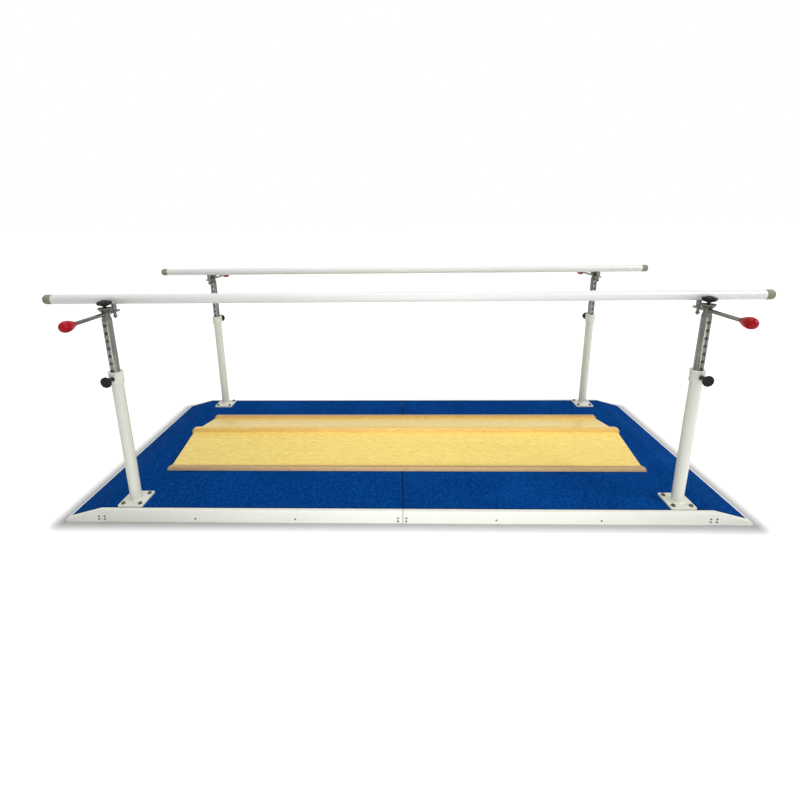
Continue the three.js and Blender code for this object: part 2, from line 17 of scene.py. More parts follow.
import bmesh
import bpy
from mathutils import Matrix, Vector


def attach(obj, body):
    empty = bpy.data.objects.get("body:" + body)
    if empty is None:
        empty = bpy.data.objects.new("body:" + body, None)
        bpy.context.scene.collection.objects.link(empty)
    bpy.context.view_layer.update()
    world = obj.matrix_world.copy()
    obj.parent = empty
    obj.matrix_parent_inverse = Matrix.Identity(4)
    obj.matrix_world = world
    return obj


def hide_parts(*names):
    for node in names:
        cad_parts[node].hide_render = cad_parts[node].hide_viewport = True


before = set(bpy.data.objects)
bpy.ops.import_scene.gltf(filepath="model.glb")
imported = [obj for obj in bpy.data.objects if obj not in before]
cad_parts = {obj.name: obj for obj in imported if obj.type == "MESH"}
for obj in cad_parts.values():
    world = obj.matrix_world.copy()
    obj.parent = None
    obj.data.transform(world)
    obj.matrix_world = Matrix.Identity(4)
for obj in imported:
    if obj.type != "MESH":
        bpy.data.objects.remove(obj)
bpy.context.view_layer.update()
LOG = logging.getLogger("walking_bars")

Point = tuple[float, ...]
Triple = tuple[float, float, float]
Colour = tuple[float, float, float, float]
Socket = bpy.types.NodeSocket
Wave = Callable[[float, float], float]

# Clearance between pieces that slide or fit into each other
PLAY = 0.0004
# No turn and no shift
STILL = Matrix.Identity(4)
WHITE = (1.0, 1.0, 1.0, 1.0)
PLATFORM = "platform"


class Direction(Enum):
    """A choice of two opposite directions, each with its word in node names and its sign."""

    @property
    def word(self) -> str:
        """Word that node names have for it."""
        return self.value[0]

    @property
    def sign(self) -> int:
        """Sign of its coordinate."""
        return self.value[1]


class Row(Direction):
    """The two handrails, with the sign of their Y."""

    FRONT = ("front", -1)
    REAR = ("rear", 1)


class Side(Direction):
    """The two ends of the platform, with the sign of their X."""

    LEFT = ("left", -1)
    RIGHT = ("right", 1)


def tag(row: Row, side: Side) -> str:
    """Row and side as node names have them."""
    return f"{row.word}_{side.word}"


class Axis(Enum):
    """Axis along which an outline is drawn out, with the axes that its two numbers stand for."""

    X = (0, 1, 2)
    Y = (1, 0, 2)
    Z = (2, 0, 1)


class Slot(str, Enum):
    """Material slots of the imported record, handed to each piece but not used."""

    DECK_MAT = "deck_mat"
    NOSING = "nosing"
    RAIL_PAINT = "rail_paint"
    POST_PAINT = "post_paint"
    BAR_COAT = "bar_coat"
    ZINC = "zinc"
    BLACK_PLASTIC = "black_plastic"
    RED_PLASTIC = "red_plastic"
    CAP_PLASTIC = "cap_plastic"
    BOARD_PANEL = "board_panel"
    BOARD_TRIM = "board_trim"


class Grain(Enum):
    """Direction in which a finish is drawn out, as the stretch of its pattern."""

    ALONG_Y = (1.0, 0.05, 1.0)
    ALONG_Z = (1.0, 1.0, 0.05)


def put(name: str, data: bpy.types.ID) -> bpy.types.Object:
    """Makes an object of some data and links it to the scene.

    Args:
        name: Name of the object.
        data: Its mesh, lamp or camera.

    Returns:
        The object.
    """
    thing = bpy.data.objects.new(name, data)
    bpy.context.scene.collection.objects.link(thing)
    return thing


def finished_mesh(thing: bpy.types.Object) -> bpy.types.Mesh:
    """Gives an object's mesh with its modifiers carried out."""
    graph = bpy.context.evaluated_depsgraph_get()
    return bpy.data.meshes.new_from_object(thing.evaluated_get(graph))


# Colours and nodes


def paint(code: int) -> Colour:
    """Turns a display colour into the linear colour that shader sockets take.

    Args:
        code: The colour as 0xRRGGBB.

    Returns:
        The linear colour with full alpha.
    """
    parts = [((code >> shift) & 255) / 255 for shift in (16, 8, 0)]
    linear = [c / 12.92 if c <= 0.04045 else ((c + 0.055) / 1.055) ** 2.4 for c in parts]
    return (linear[0], linear[1], linear[2], 1.0)


class NodeBench:
    """A node tree under construction."""

    def __init__(self, tree: bpy.types.NodeTree) -> None:
        """Empties the tree.

        Args:
            tree: The tree to build.
        """
        self.tree = tree
        tree.nodes.clear()

    def node(
        self, kind: str, inputs: dict[str | int, object] | None = None, **settings: object
    ) -> bpy.types.Node:
        """Adds a node.

        Args:
            kind: The node's type name.
            inputs: For an input's name or number, its value or the output that feeds it.
            **settings: Properties of the node to set.

        Returns:
            The new node.
        """
        made = self.tree.nodes.new(kind)
        for key, value in settings.items():
            setattr(made, key, value)
        for key, value in (inputs or {}).items():
            if isinstance(value, Socket):
                self.wire(value, made.inputs[key])
            else:
                made.inputs[key].default_value = value
        return made

    def wire(self, source: Socket, target: Socket) -> None:
        """Links an output to an input."""
        self.tree.links.new(source, target)

    def step(self, operation: str, *values: float | Socket) -> Socket:
        """Adds one step of arithmetic and gives its result."""
        return self.node("ShaderNodeMath", dict(enumerate(values)), operation=operation).outputs[0]

    def span(
        self, value: Socket, low: float, high: float, start: float = 0.3, end: float = 0.7, **settings: object
    ) -> Socket:
        """Maps a pattern's value to a range.

        Args:
            value: The pattern.
            low: Result at the start.
            high: Result at the end.
            start: Pattern value at which the range starts.
            end: Pattern value at which it ends.
            **settings: Properties of the mapping node to set.

        Returns:
            The mapped value.
        """
        limits = {"Value": value, "From Min": start, "From Max": end, "To Min": low, "To Max": high}
        return self.node("ShaderNodeMapRange", limits, **settings).outputs["Result"]


class FinishBench(NodeBench):
    """One material under construction: a Principled shader and the pattern nodes that feed it."""

    def __init__(self, label: str) -> None:
        """Starts a material with its shader and output.

        Args:
            label: Name of the material.
        """
        self.material = bpy.data.materials.new(label)
        self.material.use_nodes = True
        super().__init__(self.material.node_tree)
        self.shader = self.node("ShaderNodeBsdfPrincipled")
        self.node("ShaderNodeOutputMaterial", {"Surface": self.shader.outputs["BSDF"]})
        coordinates = self.node("ShaderNodeTexCoord").outputs
        self.place, self.facing = coordinates["Object"], coordinates["Normal"]

    def stretched(self, stretch: Triple) -> Socket:
        """Object coordinates under a scale for each axis, so that a pattern runs longer along one."""
        return self.node("ShaderNodeMapping", {"Scale": stretch, "Vector": self.place}).outputs["Vector"]

    def part(self, vector: Socket, axis: str) -> Socket:
        """One coordinate of a vector."""
        return self.node("ShaderNodeSeparateXYZ", {0: vector}).outputs[axis]

    def noise(self, vector: Socket, scale: float, detail: float = 3.0, roughness: float = 0.55) -> Socket:
        """Adds a noise pattern.

        Args:
            vector: Coordinates that it reads.
            scale: Waves to a metre.
            detail: Octaves of finer noise.
            roughness: Weight of the finer octaves.

        Returns:
            The pattern's value, about 0.5 on average.
        """
        sizes = {"Vector": vector, "Scale": scale, "Detail": detail, "Roughness": roughness}
        return self.node("ShaderNodeTexNoise", sizes).outputs["Fac"]

    def cells(self, scale: float) -> Socket:
        """Adds a pattern of cells, so many to a metre, and gives the distance to their middles."""
        return self.node("ShaderNodeTexVoronoi", {"Vector": self.place, "Scale": scale}).outputs["Distance"]

    def bands(self, vector: Socket, scale: float, direction: str, bend: float, bend_scale: float) -> Socket:
        """Adds a pattern of bent bands.

        Args:
            vector: Coordinates that it reads.
            scale: Bands to a metre, about.
            direction: Axis across the bands, X, Y or Z.
            bend: How far the bands are bent.
            bend_scale: Scale of the bends.

        Returns:
            The pattern's value.
        """
        sizes = {
            "Vector": vector,
            "Scale": scale,
            "Distortion": bend,
            "Detail": 2.0,
            "Detail Scale": bend_scale,
        }
        wave = self.node("ShaderNodeTexWave", sizes, bands_direction=direction, wave_profile="SIN")
        return wave.outputs["Fac"]

    def sum_of(self, first: Socket, second: Socket, share: float) -> Socket:
        """Adds a share of a second pattern to a first one."""
        return self.step("MULTIPLY_ADD", second, share, first)

    def over(
        self,
        tone: int | Socket,
        tint: int,
        pattern: Socket,
        share: float,
        none: float = 0.3,
        full: float = 0.7,
    ) -> Socket:
        """Lays a tint over a colour, as densely as a pattern says.

        Args:
            tone: The colour below, as 0xRRGGBB or as the output that gives it.
            tint: The tint as 0xRRGGBB.
            pattern: The pattern.
            share: Share of the tint where it is densest.
            none: Pattern value at which there is no tint.
            full: Pattern value at which it is densest.

        Returns:
            The resulting colour.
        """
        density = self.span(pattern, 0.0, share, none, full)
        below = paint(tone) if isinstance(tone, int) else tone
        return self.node("ShaderNodeMix", {0: density, 6: below, 7: paint(tint)}, data_type="RGBA").outputs[2]

    def line(
        self, tone: Socket, tint: int, share: float, half: float, axis: str = "X", reach: float = 0.0
    ) -> Socket:
        """Draws a narrow line across an axis, at the same distance on both sides of zero.

        Args:
            tone: The colour beside the line.
            tint: The line's colour as 0xRRGGBB; where it is used, it is a painted shade.
            share: How much of it shows.
            half: Half the line's width in metres.
            axis: The axis that it crosses.
            reach: Distance from zero at which it crosses.

        Returns:
            The colour with the line.
        """
        mirrored = self.step("ABSOLUTE", self.part(self.place, axis))
        away = self.step("ABSOLUTE", self.step("SUBTRACT", mirrored, reach))
        return self.over(tone, tint, away, share, half, half / 2)

    def colour(self, tone: Socket) -> None:
        """Uses a colour output as the base colour."""
        self.wire(tone, self.shader.inputs["Base Color"])

    def gloss(self, pattern: Socket, low: float, high: float) -> None:
        """Uses a pattern as the roughness, between two values."""
        self.wire(self.span(pattern, low, high), self.shader.inputs["Roughness"])

    def relief(self, height: Socket, strength: float, depth: float) -> None:
        """Gives the surface a relief, on top of any that it has.

        Args:
            height: The pattern that raises the surface.
            strength: How strongly it shows.
            depth: Its depth in metres.
        """
        bump = self.node("ShaderNodeBump", {"Strength": strength, "Distance": depth, "Height": height})
        normal = self.shader.inputs["Normal"]
        if normal.is_linked:
            self.wire(normal.links[0].from_socket, bump.inputs["Normal"])
        self.wire(bump.outputs["Normal"], normal)

    def fix(self, **values: float) -> None:
        """Sets plain values on the shader's own sockets, spaces in their names written as underscores."""
        for key, value in values.items():
            self.shader.inputs[key.replace("_", " ")].default_value = value


# Finishes


@dataclass(frozen=True)
class Finish:
    """A finish, made into a material at its first use."""

    label: str

    def draw(self, bench: FinishBench) -> None:
        """Draws the finish on the bench of its material, as each kind of finish does in its own way."""
        raise NotImplementedError

    @cache
    def material(self) -> bpy.types.Material:
        """Gives the finish's material, and builds it at the first call.

        Returns:
            The material.
        """
        bench = FinishBench(self.label)
        self.draw(bench)
        return bench.material


@dataclass(frozen=True)
class PowderCoat(Finish):
    """Baked paint with a faint orange peel, slightly uneven in tone, with dust where it is low."""

    colour: int
    shade: int
    roughness: float = 0.38
    peel: float = 0.12
    dust: float = 0.0
    speck: float = 0.05
    uneven: float = 1.0
    seam: float = 0.0
    seam_half: float = 0.003
    speck_tint: int = 0x8D8B7C
    dust_tint: int = 0xA39F8C
    seam_tint: int = 0x8E8F86

    def draw(self, bench: FinishBench) -> None:
        """Draws clouds and specks, dust and a painted seam shade where they are present, and the orange peel.

        Args:
            bench: Bench of its material.
        """
        place = bench.place
        tone = bench.over(self.colour, self.shade, bench.noise(place, 5.0, 4.0), 0.55)
        tone = bench.over(tone, self.speck_tint, bench.cells(900.0), self.speck, 0.35, 0.05)
        if self.dust:
            level = bench.sum_of(bench.part(place, "Z"), bench.noise(place, 24.0, 4.0), -0.05)
            tone = bench.over(tone, self.dust_tint, level, self.dust, 0.10, 0.02)
        # Painted shade: a dark line across X at zero, where the two halves of a rail meet
        if self.seam:
            tone = bench.line(tone, self.seam_tint, self.seam, self.seam_half)
        bench.colour(tone)
        smooth, dull = self.roughness - 0.05 * self.uneven, self.roughness + 0.09 * self.uneven
        bench.gloss(bench.noise(place, 60.0, 2.0), smooth, dull)
        bench.relief(bench.noise(place, 420.0, 2.0), self.peel, 0.0004)
        bench.fix(Coat_Weight=0.15, Coat_Roughness=0.25)


@dataclass(frozen=True)
class ZincPlate(Finish):
    """Plated steel, mottled in tone and drawn out along the piece, with tool marks."""

    light: int
    dark: int
    grain: Grain
    roughness: float = 0.3
    metal: float = 1.0
    tool_marks: int = 0x54564F

    def draw(self, bench: FinishBench) -> None:
        """Draws the mottling, the tool marks and the crystals of the plating.

        Args:
            bench: Bench of its material.
        """
        drawn = bench.stretched(self.grain.value)
        tone = bench.over(self.light, self.dark, bench.noise(drawn, 130.0, 4.0, 0.6), 0.85, 0.36, 0.66)
        streak = bench.noise(drawn, 620.0, 3.0)
        bench.colour(bench.over(tone, self.tool_marks, streak, 0.4, 0.45, 0.75))
        bench.gloss(bench.noise(bench.place, 110.0, 3.0), self.roughness - 0.08, self.roughness + 0.14)
        bench.relief(streak, 0.16, 0.0003)
        bench.relief(bench.cells(260.0), 0.06, 0.0004)
        bench.fix(Metallic=self.metal)


@dataclass(frozen=True)
class MouldedPlastic(Finish):
    """Moulded plastic with a fine eroded texture and small changes of tone."""

    colour: int
    shade: int
    roughness: float
    texture: float
    specular: float

    def draw(self, bench: FinishBench) -> None:
        """Draws the clouds of tone and the grit of the mould.

        Args:
            bench: Bench of its material.
        """
        tone = bench.over(self.colour, self.shade, bench.noise(bench.place, 34.0, 4.0), 0.8)
        grit = bench.noise(bench.place, 1500.0, 2.0, 0.6)
        bench.colour(bench.over(tone, self.shade, grit, 0.18, 0.45, 0.7))
        bench.gloss(bench.noise(bench.place, 160.0, 3.0), self.roughness - 0.06, self.roughness + 0.1)
        bench.relief(grit, self.texture, 0.0002)
        bench.fix(Specular_IOR_Level=self.specular)


@dataclass(frozen=True)
class DeckCovering(Finish):
    """Needle-felt deck covering: short matted fibres with flecks of lighter and darker blue."""

    colour: int
    light: int
    dark: int
    gap_tint: int = 0x01102A
    middle_half: float = 0.0034
    edge_half: float = 0.0075
    edge_reach: float = 0.590

    def draw(self, bench: FinishBench) -> None:
        """Draws clumps, flecks and wear, painted shade along the gaps round each half, and the matted pile.

        Args:
            bench: Bench of its material.
        """
        fleck = bench.noise(bench.place, 340.0, 5.0, 0.75)
        clump = bench.noise(bench.place, 95.0, 5.0, 0.8)
        tone = bench.over(self.dark, self.colour, clump, 1.0, 0.36, 0.66)
        tone = bench.over(tone, self.light, bench.sum_of(clump, fleck, 0.5), 1.0, 0.78, 0.92)
        tone = bench.over(tone, self.light, bench.noise(bench.place, 2.4, 4.0), 0.3, 0.5, 0.75)
        # Painted shade: dark lines along the middle gap between the halves and along the edges where the
        # covering meets the rails
        tone = bench.line(tone, self.gap_tint, 0.85, self.middle_half)
        bench.colour(bench.line(tone, self.gap_tint, 0.75, self.edge_half, "Y", self.edge_reach))
        bench.gloss(fleck, 0.82, 0.95)
        bench.relief(bench.sum_of(bench.cells(310.0), fleck, 0.9), 0.55, 0.0018)
        bench.fix(Specular_IOR_Level=0.03)


@dataclass(frozen=True)
class Timber(Finish):
    """Lacquered wood whose grain runs along X: growth bands, fibres, pores and a few darker streaks."""

    colour: int
    band: int
    streak: int
    roughness: float = 0.34
    band_scale: float = 2.0
    lacquer: float = 0.15
    figure: float = 0.8
    # Share of painted shade on the faces that point up, standing in for the shade along the tops of the lips
    crown: float = 0.0
    crown_tint: int = 0xA88748

    def draw(self, bench: FinishBench) -> None:
        """Draws the grain from coarse to fine, and painted shade on the faces that point up where it has a
        crown share.

        Args:
            bench: Bench of its material.
        """
        ring = bench.bands(bench.stretched((0.55, 7.0, 7.0)), self.band_scale, "Y", 5.5, 1.4)
        thread = bench.noise(bench.stretched((5.0, 320.0, 320.0)), 1.0, 4.0, 0.6)
        pore = bench.noise(bench.stretched((22.0, 900.0, 900.0)), 1.0, 2.0, 0.5)
        dash = bench.noise(bench.stretched((30.0, 165.0, 165.0)), 1.0, 3.0, 0.65)
        broad = bench.noise(bench.stretched((0.35, 5.0, 5.0)), 1.0, 3.0)
        tone = bench.over(self.colour, self.band, ring, 0.30 * self.figure, 0.2, 0.95)
        tone = bench.over(tone, self.band, thread, 0.55 * self.figure, 0.42, 0.72)
        tone = bench.over(tone, self.streak, pore, 0.6, 0.62, 0.78)
        tone = bench.over(tone, self.streak, dash, 0.65, 0.46, 0.74)
        tone = bench.over(tone, self.streak, broad, 0.4 * self.figure, 0.45, 0.75)
        # Painted shade: faces that point up are darkened towards an olive tint
        if self.crown:
            upward = bench.part(bench.facing, "Z")
            tone = bench.over(tone, self.crown_tint, upward, self.crown, 0.35, 0.8)
        bench.colour(tone)
        bench.gloss(thread, self.roughness - 0.05, self.roughness + 0.12)
        bench.relief(bench.sum_of(thread, pore, 0.5), 0.12, 0.0004)
        bench.fix(Coat_Weight=self.lacquer, Coat_Roughness=0.22)


@dataclass(frozen=True)
class LayeredPly(Finish):
    """Raw plywood: veneers that show as bands on the edges, with coarse grain on the faces."""

    colour: int
    layer: int
    knot: int
    veneer: float = 0.0016

    def draw(self, bench: FinishBench) -> None:
        """Draws grain, veneers and knots.

        Args:
            bench: Bench of its material.
        """
        grain = bench.noise(bench.stretched((3.0, 80.0, 3.0)), 1.0, 5.0, 0.6)
        edge = bench.bands(bench.place, 0.5 / self.veneer / 3.2, "Z", 0.4, 30.0)
        tone = bench.over(self.colour, self.layer, grain, 0.7)
        tone = bench.over(tone, self.layer, edge, 0.45, 0.35, 0.65)
        bench.colour(bench.over(tone, self.knot, bench.noise(bench.place, 7.0, 3.0), 0.6, 0.62, 0.8))
        bench.gloss(grain, 0.62, 0.82)
        bench.relief(grain, 0.3, 0.0006)


IVORY_POST = PowderCoat("ivory_post_coat", 0xEDEFE3, 0xE4E7D8, 0.36, peel=0.10, dust=0.24)
# The rails carry a painted shade line at the joint of their two halves
IVORY_RAIL = PowderCoat("ivory_rail_coat", 0xF6F7F0, 0xEFF0E5, 0.42, peel=0.10, dust=0.18, seam=0.7)
IVORY_STRIP = PowderCoat("ivory_strip_coat", 0xF5F6F0, 0xEEEFE7, 0.42, peel=0.10)
WHITE_BAR = PowderCoat("white_bar_coat", 0xF4F4F2, 0xF1F1EE, 0.34, peel=0.01, speck=0.008, uneven=0.2)
ZINC_TUBE = ZincPlate("zinc_tube", 0x888C85, 0x4C504A, Grain.ALONG_Z, roughness=0.24)
ZINC_ROD = ZincPlate("zinc_rod", 0x80847D, 0x52564F, Grain.ALONG_Y, roughness=0.24)
ZINC_HEAD = ZincPlate("zinc_head", 0x787C75, 0x52564F, Grain.ALONG_Z, roughness=0.50, metal=0.85)
ZINC_SCREW = ZincPlate("zinc_fastener", 0x7A7C76, 0x484A45, Grain.ALONG_Z, roughness=0.36)
# Painted light: the masts' inner wall is near white and not metal, so that the holes read bright as if light
# showed through them
PAINTED_LIGHT_BORE = ZincPlate("painted_light_bore", 0xF2F3EF, 0xD9DBD5, Grain.ALONG_Z, roughness=0.60, metal=0.0)
BLACK_KNOB = MouldedPlastic("black_knob_plastic", 0x050505, 0x090909, 0.28, texture=0.04, specular=0.20)
RED_GRIP = MouldedPlastic("red_grip_plastic", 0xB80016, 0x9C0011, 0.13, texture=0.0, specular=0.16)
KHAKI_CAP = MouldedPlastic("khaki_cap_plastic", 0x9C9983, 0x8A8770, 0.48, texture=0.22, specular=0.3)
BLUE_DECK = DeckCovering("blue_deck_covering", 0x00428E, light=0x0A5DB0, dark=0x01306E)
PANEL_WOOD = Timber("panel_veneer", 0xFBE17C, 0xF2CF69, 0xD9AC4A, band_scale=1.3, figure=0.45)
TRIM_WOOD = Timber("trim_batten_wood", 0xF4D27C, 0xECC268, 0xD0A05A, roughness=0.36)
# The lips carry painted shade on their faces that point up
LIP_WOOD = Timber("lip_batten_wood", 0xF2CE96, 0xE6BE84, 0xC89A60, roughness=0.40, lacquer=0.10, crown=0.75)
RAW_PLY = LayeredPly("raw_plywood", 0xC3A072, layer=0x8F6B42, knot=0x6F4E2C)


# Mesh tools

# A rounding takes at most this share of the side that it eats into
SIDE_SHARE = 0.48
# Corners flatter than this, in radians, stay as they are
FLAT = 0.02
# Below this length, in metres, a side or a radius counts as zero
TINY = 1e-7


def eased(points: Sequence[Point], radius: float, steps: int, loop: bool = True) -> list[tuple[float, float]]:
    """Rounds the corners of an outline.

    Args:
        points: Corners, each of two numbers and, if it has one of its own, its rounding.
        radius: Rounding of the other corners.
        steps: Parts of each rounding.
        loop: Whether the last corner joins the first.

    Returns:
        The outline with its corners rounded.
    """
    count = len(points)
    result: list[tuple[float, float]] = []
    for i, point in enumerate(points):
        here = Vector(point[:2])
        before, after = Vector(points[i - 1][:2]) - here, Vector(points[(i + 1) % count][:2]) - here
        own = point[2] if len(point) > 2 else radius
        sharp = own <= 0 or (not loop and i in (0, count - 1)) or min(before.length, after.length) < TINY
        if sharp or abs(before.angle(after) - math.pi) < FLAT:
            result.append((here.x, here.y))
            continue
        cut = min(own, before.length * SIDE_SHARE, after.length * SIDE_SHARE)
        start, end = here + before.normalized() * cut, here + after.normalized() * cut
        for step in range(steps + 1):
            t = step / steps
            spot = start * (1 - t) ** 2 + here * 2 * t * (1 - t) + end * t**2
            result.append((spot.x, spot.y))
    return result


def smooth_through(points: Sequence[Point], steps: int) -> list[Point]:
    """Draws a smooth curve through some points.

    Args:
        points: Points of the curve.
        steps: Parts between two points.

    Returns:
        The curve's points.
    """
    result: list[Point] = []
    for i in range(len(points) - 1):
        a, b = Vector(points[max(i - 1, 0)]), Vector(points[i])
        c, d = Vector(points[i + 1]), Vector(points[min(i + 2, len(points) - 1)])
        for step in range(steps):
            t = step / steps
            bend = (2 * a - 5 * b + 4 * c - d) * t**2 + (3 * b - a - 3 * c + d) * t**3
            spot = 0.5 * (2 * b + (c - a) * t + bend)
            result.append((max(spot.x, 0.0), spot.y))
    result.append(points[-1])
    return result


def quarter_round(side: float, top: float, radius: float, steps: int) -> list[Point]:
    """Draws a quarter of a circle that starts upright at a side and ends level at a top.

    Args:
        side: First number of the arc's start.
        top: Second number of its end.
        radius: Its radius.
        steps: Parts of the arc.

    Returns:
        The arc's points.
    """
    angles = [math.pi / 2 * step / steps for step in range(steps + 1)]
    return [(side - radius * (1 - math.cos(a)), top - radius * (1 - math.sin(a))) for a in angles]


def rectangle(half_width: float, half_depth: float, rounding: float = 0.0) -> list[Point]:
    """Outline of a rectangle about zero."""
    return [(x * half_width, y * half_depth, rounding) for x, y in ((-1, -1), (1, -1), (1, 1), (-1, 1))]


def hexagon(across_flats: float) -> list[Point]:
    """Outline of a hexagon about zero, from its corner on the first axis."""
    corner = across_flats / math.sqrt(3)
    return [(corner * math.cos(math.tau * i / 6), corner * math.sin(math.tau * i / 6)) for i in range(6)]


def round_bar(radius: float, low: float, high: float, foot: float = 0.0, head: float = 0.0) -> list[Point]:
    """Outline of a solid round bar, with the rounding of its lower and its upper edge."""
    return [(0.0, low), (radius, low, foot), (radius, high, head), (0.0, high)]


def round_tube(outer: float, inner: float, low: float, high: float) -> list[Point]:
    """Outline of the wall of a round tube."""
    return [(outer, low), (outer, high), (inner, high), (inner, low)]


def turn(
    bm: bmesh.types.BMesh,
    outline: Sequence[Point],
    segments: int,
    place: Matrix = STILL,
    ring: bool = False,
    rounding: float = 0.0,
    steps: int = 3,
    wave: Wave | None = None,
    material: int = 0,
) -> None:
    """Turns an outline about the Z axis into a closed surface.

    Args:
        bm: Mesh that takes it.
        outline: Radius, height and own rounding, if any, of each corner; a radius of zero is a pole.
        segments: Parts of a full turn.
        place: Where the turned piece goes.
        ring: Whether the outline closes on itself, as for a tube.
        rounding: Rounding of the corners without their own.
        steps: Parts of each rounding.
        wave: Factor on the radius, from the angle and the radius.
        material: Index of the material of its faces.
    """
    loops: list[list[bmesh.types.BMVert]] = []
    for radius, height in eased(outline, rounding, steps, loop=ring):
        loop = []
        for i in range(segments if radius > TINY else 1):
            angle = math.tau * i / segments
            r = radius * (wave(angle, radius) if wave else 1.0)
            loop.append(bm.verts.new(place @ Vector((r * math.cos(angle), r * math.sin(angle), height))))
        loops.append(loop)
    pairs = list(zip(loops, loops[1:]))
    if ring:
        pairs.append((loops[-1], loops[0]))
    for low, high in pairs:
        for i in range(segments):
            around = ((low, i), (low, i + 1), (high, i + 1), (high, i))
            corners = list(dict.fromkeys(verts[k % len(verts)] for verts, k in around))
            if len(corners) > 2:
                bm.faces.new(corners).material_index = material


def loft(
    bm: bmesh.types.BMesh, sections: Sequence[Sequence[Vector]], place: Matrix
) -> list[bmesh.types.BMFace]:
    """Skins a row of closed sections and closes its ends.

    Args:
        bm: Mesh that takes it.
        sections: Sections with the same number of points.
        place: Where the piece goes.

    Returns:
        Its two end faces.
    """
    rings = [[bm.verts.new(place @ point) for point in section] for section in sections]
    ends = [bm.faces.new(rings[0]), bm.faces.new(rings[-1][::-1])]
    for near, far in zip(rings, rings[1:]):
        for i in range(len(near)):
            j = (i + 1) % len(near)
            bm.faces.new((near[j], near[i], far[i], far[j]))
    return ends


def draw_out(
    bm: bmesh.types.BMesh,
    outline: Sequence[Point],
    reach: tuple[float, float],
    axis: Axis,
    place: Matrix = STILL,
    corner_steps: int = 3,
    bevel: float = 0.0,
    bevel_steps: int = 2,
) -> None:
    """Draws an outline out along an axis into a closed block and eases its end edges.

    Args:
        bm: Mesh that takes it.
        outline: The two numbers and own rounding, if any, of each corner.
        reach: Where the block starts and ends on the axis.
        axis: The axis.
        place: Where the block goes.
        corner_steps: Parts of each rounding of the outline.
        bevel: Width of the easing on the edges of the two end faces.
        bevel_steps: Parts of that easing.
    """
    along, first, second = axis.value
    sections = []
    for level in reach:
        section = []
        for a, b in eased(outline, 0.0, corner_steps):
            spot = Vector()
            spot[along], spot[first], spot[second] = level, a, b
            section.append(spot)
        sections.append(section)
    edges = [edge for face in loft(bm, sections, place) for edge in face.edges]
    if bevel:
        easing = {"offset": bevel, "segments": bevel_steps, "profile": 0.5, "clamp_overlap": True}
        bmesh.ops.bevel(bm, geom=edges, affect="EDGES", **easing)


def as_mesh(bm: bmesh.types.BMesh, name: str) -> bpy.types.Mesh:
    """Turns the faces of a bmesh outwards and makes a mesh of it.

    Args:
        bm: The bmesh, which is freed.
        name: Name of the mesh.

    Returns:
        The mesh.
    """
    bmesh.ops.recalc_face_normals(bm, faces=bm.faces)
    mesh = bpy.data.meshes.new(name)
    bm.to_mesh(mesh)
    bm.free()
    return mesh


def carved(block: bmesh.types.BMesh, *cutters: bmesh.types.BMesh) -> bpy.types.Mesh:
    """Cuts closed shapes out of a closed shape.

    Args:
        block: The shape to cut.
        *cutters: Shapes cut out of it; all of them are used up.

    Returns:
        The cut mesh.
    """
    things = [put("carving", as_mesh(shape, "carving")) for shape in (block, *cutters)]
    for tool in things[1:]:
        modifier = things[0].modifiers.new("cut", "BOOLEAN")
        modifier.operation, modifier.solver, modifier.object = "DIFFERENCE", "EXACT", tool
    result = finished_mesh(things[0])
    for thing in things:
        bpy.data.objects.remove(thing)
    return result


def shade(mesh: bpy.types.Mesh, limit: float) -> None:
    """Smooths a mesh and keeps its edges sharp where they are steeper than a limit.

    Args:
        mesh: The mesh.
        limit: The limit in degrees.
    """
    bm = bmesh.new()
    bm.from_mesh(mesh)
    for face in bm.faces:
        face.smooth = True
    for edge in bm.edges:
        edge.smooth = edge.calc_face_angle(0.0) < math.radians(limit)
    bm.to_mesh(mesh)
    bm.free()


def install(
    name: str,
    shape: bmesh.types.BMesh | bpy.types.Mesh,
    finishes: Finish | Sequence[Finish],
    body: str,
    slot: Slot,
    replaced: str = "",
    limit: float = 38.0,
) -> None:
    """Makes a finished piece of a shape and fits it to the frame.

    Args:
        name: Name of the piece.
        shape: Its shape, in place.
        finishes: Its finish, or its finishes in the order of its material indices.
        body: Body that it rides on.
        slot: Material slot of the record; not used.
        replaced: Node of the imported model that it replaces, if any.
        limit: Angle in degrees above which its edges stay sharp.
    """
    mesh = as_mesh(shape, name) if isinstance(shape, bmesh.types.BMesh) else shape
    shade(mesh, limit)
    indices = [0] * len(mesh.polygons)
    mesh.polygons.foreach_get("material_index", indices)
    mesh.materials.clear()
    for finish in [finishes] if isinstance(finishes, Finish) else finishes:
        mesh.materials.append(finish.material())
    mesh.polygons.foreach_set("material_index", indices)
    piece = put(name, mesh)
    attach(piece, body)
    if replaced:
        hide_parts(replaced)
    LOG.info("%s: %d faces on %s", name, len(mesh.polygons), body)


def dress(node: str, finish: Finish) -> None:
    """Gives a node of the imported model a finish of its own.

    Args:
        node: The node.
        finish: Its finish.
    """
    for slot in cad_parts[node].material_slots:
        slot.material = finish.material()
    LOG.info("%s: dressed as %s", node, finish.label)


# Geometry Nodes


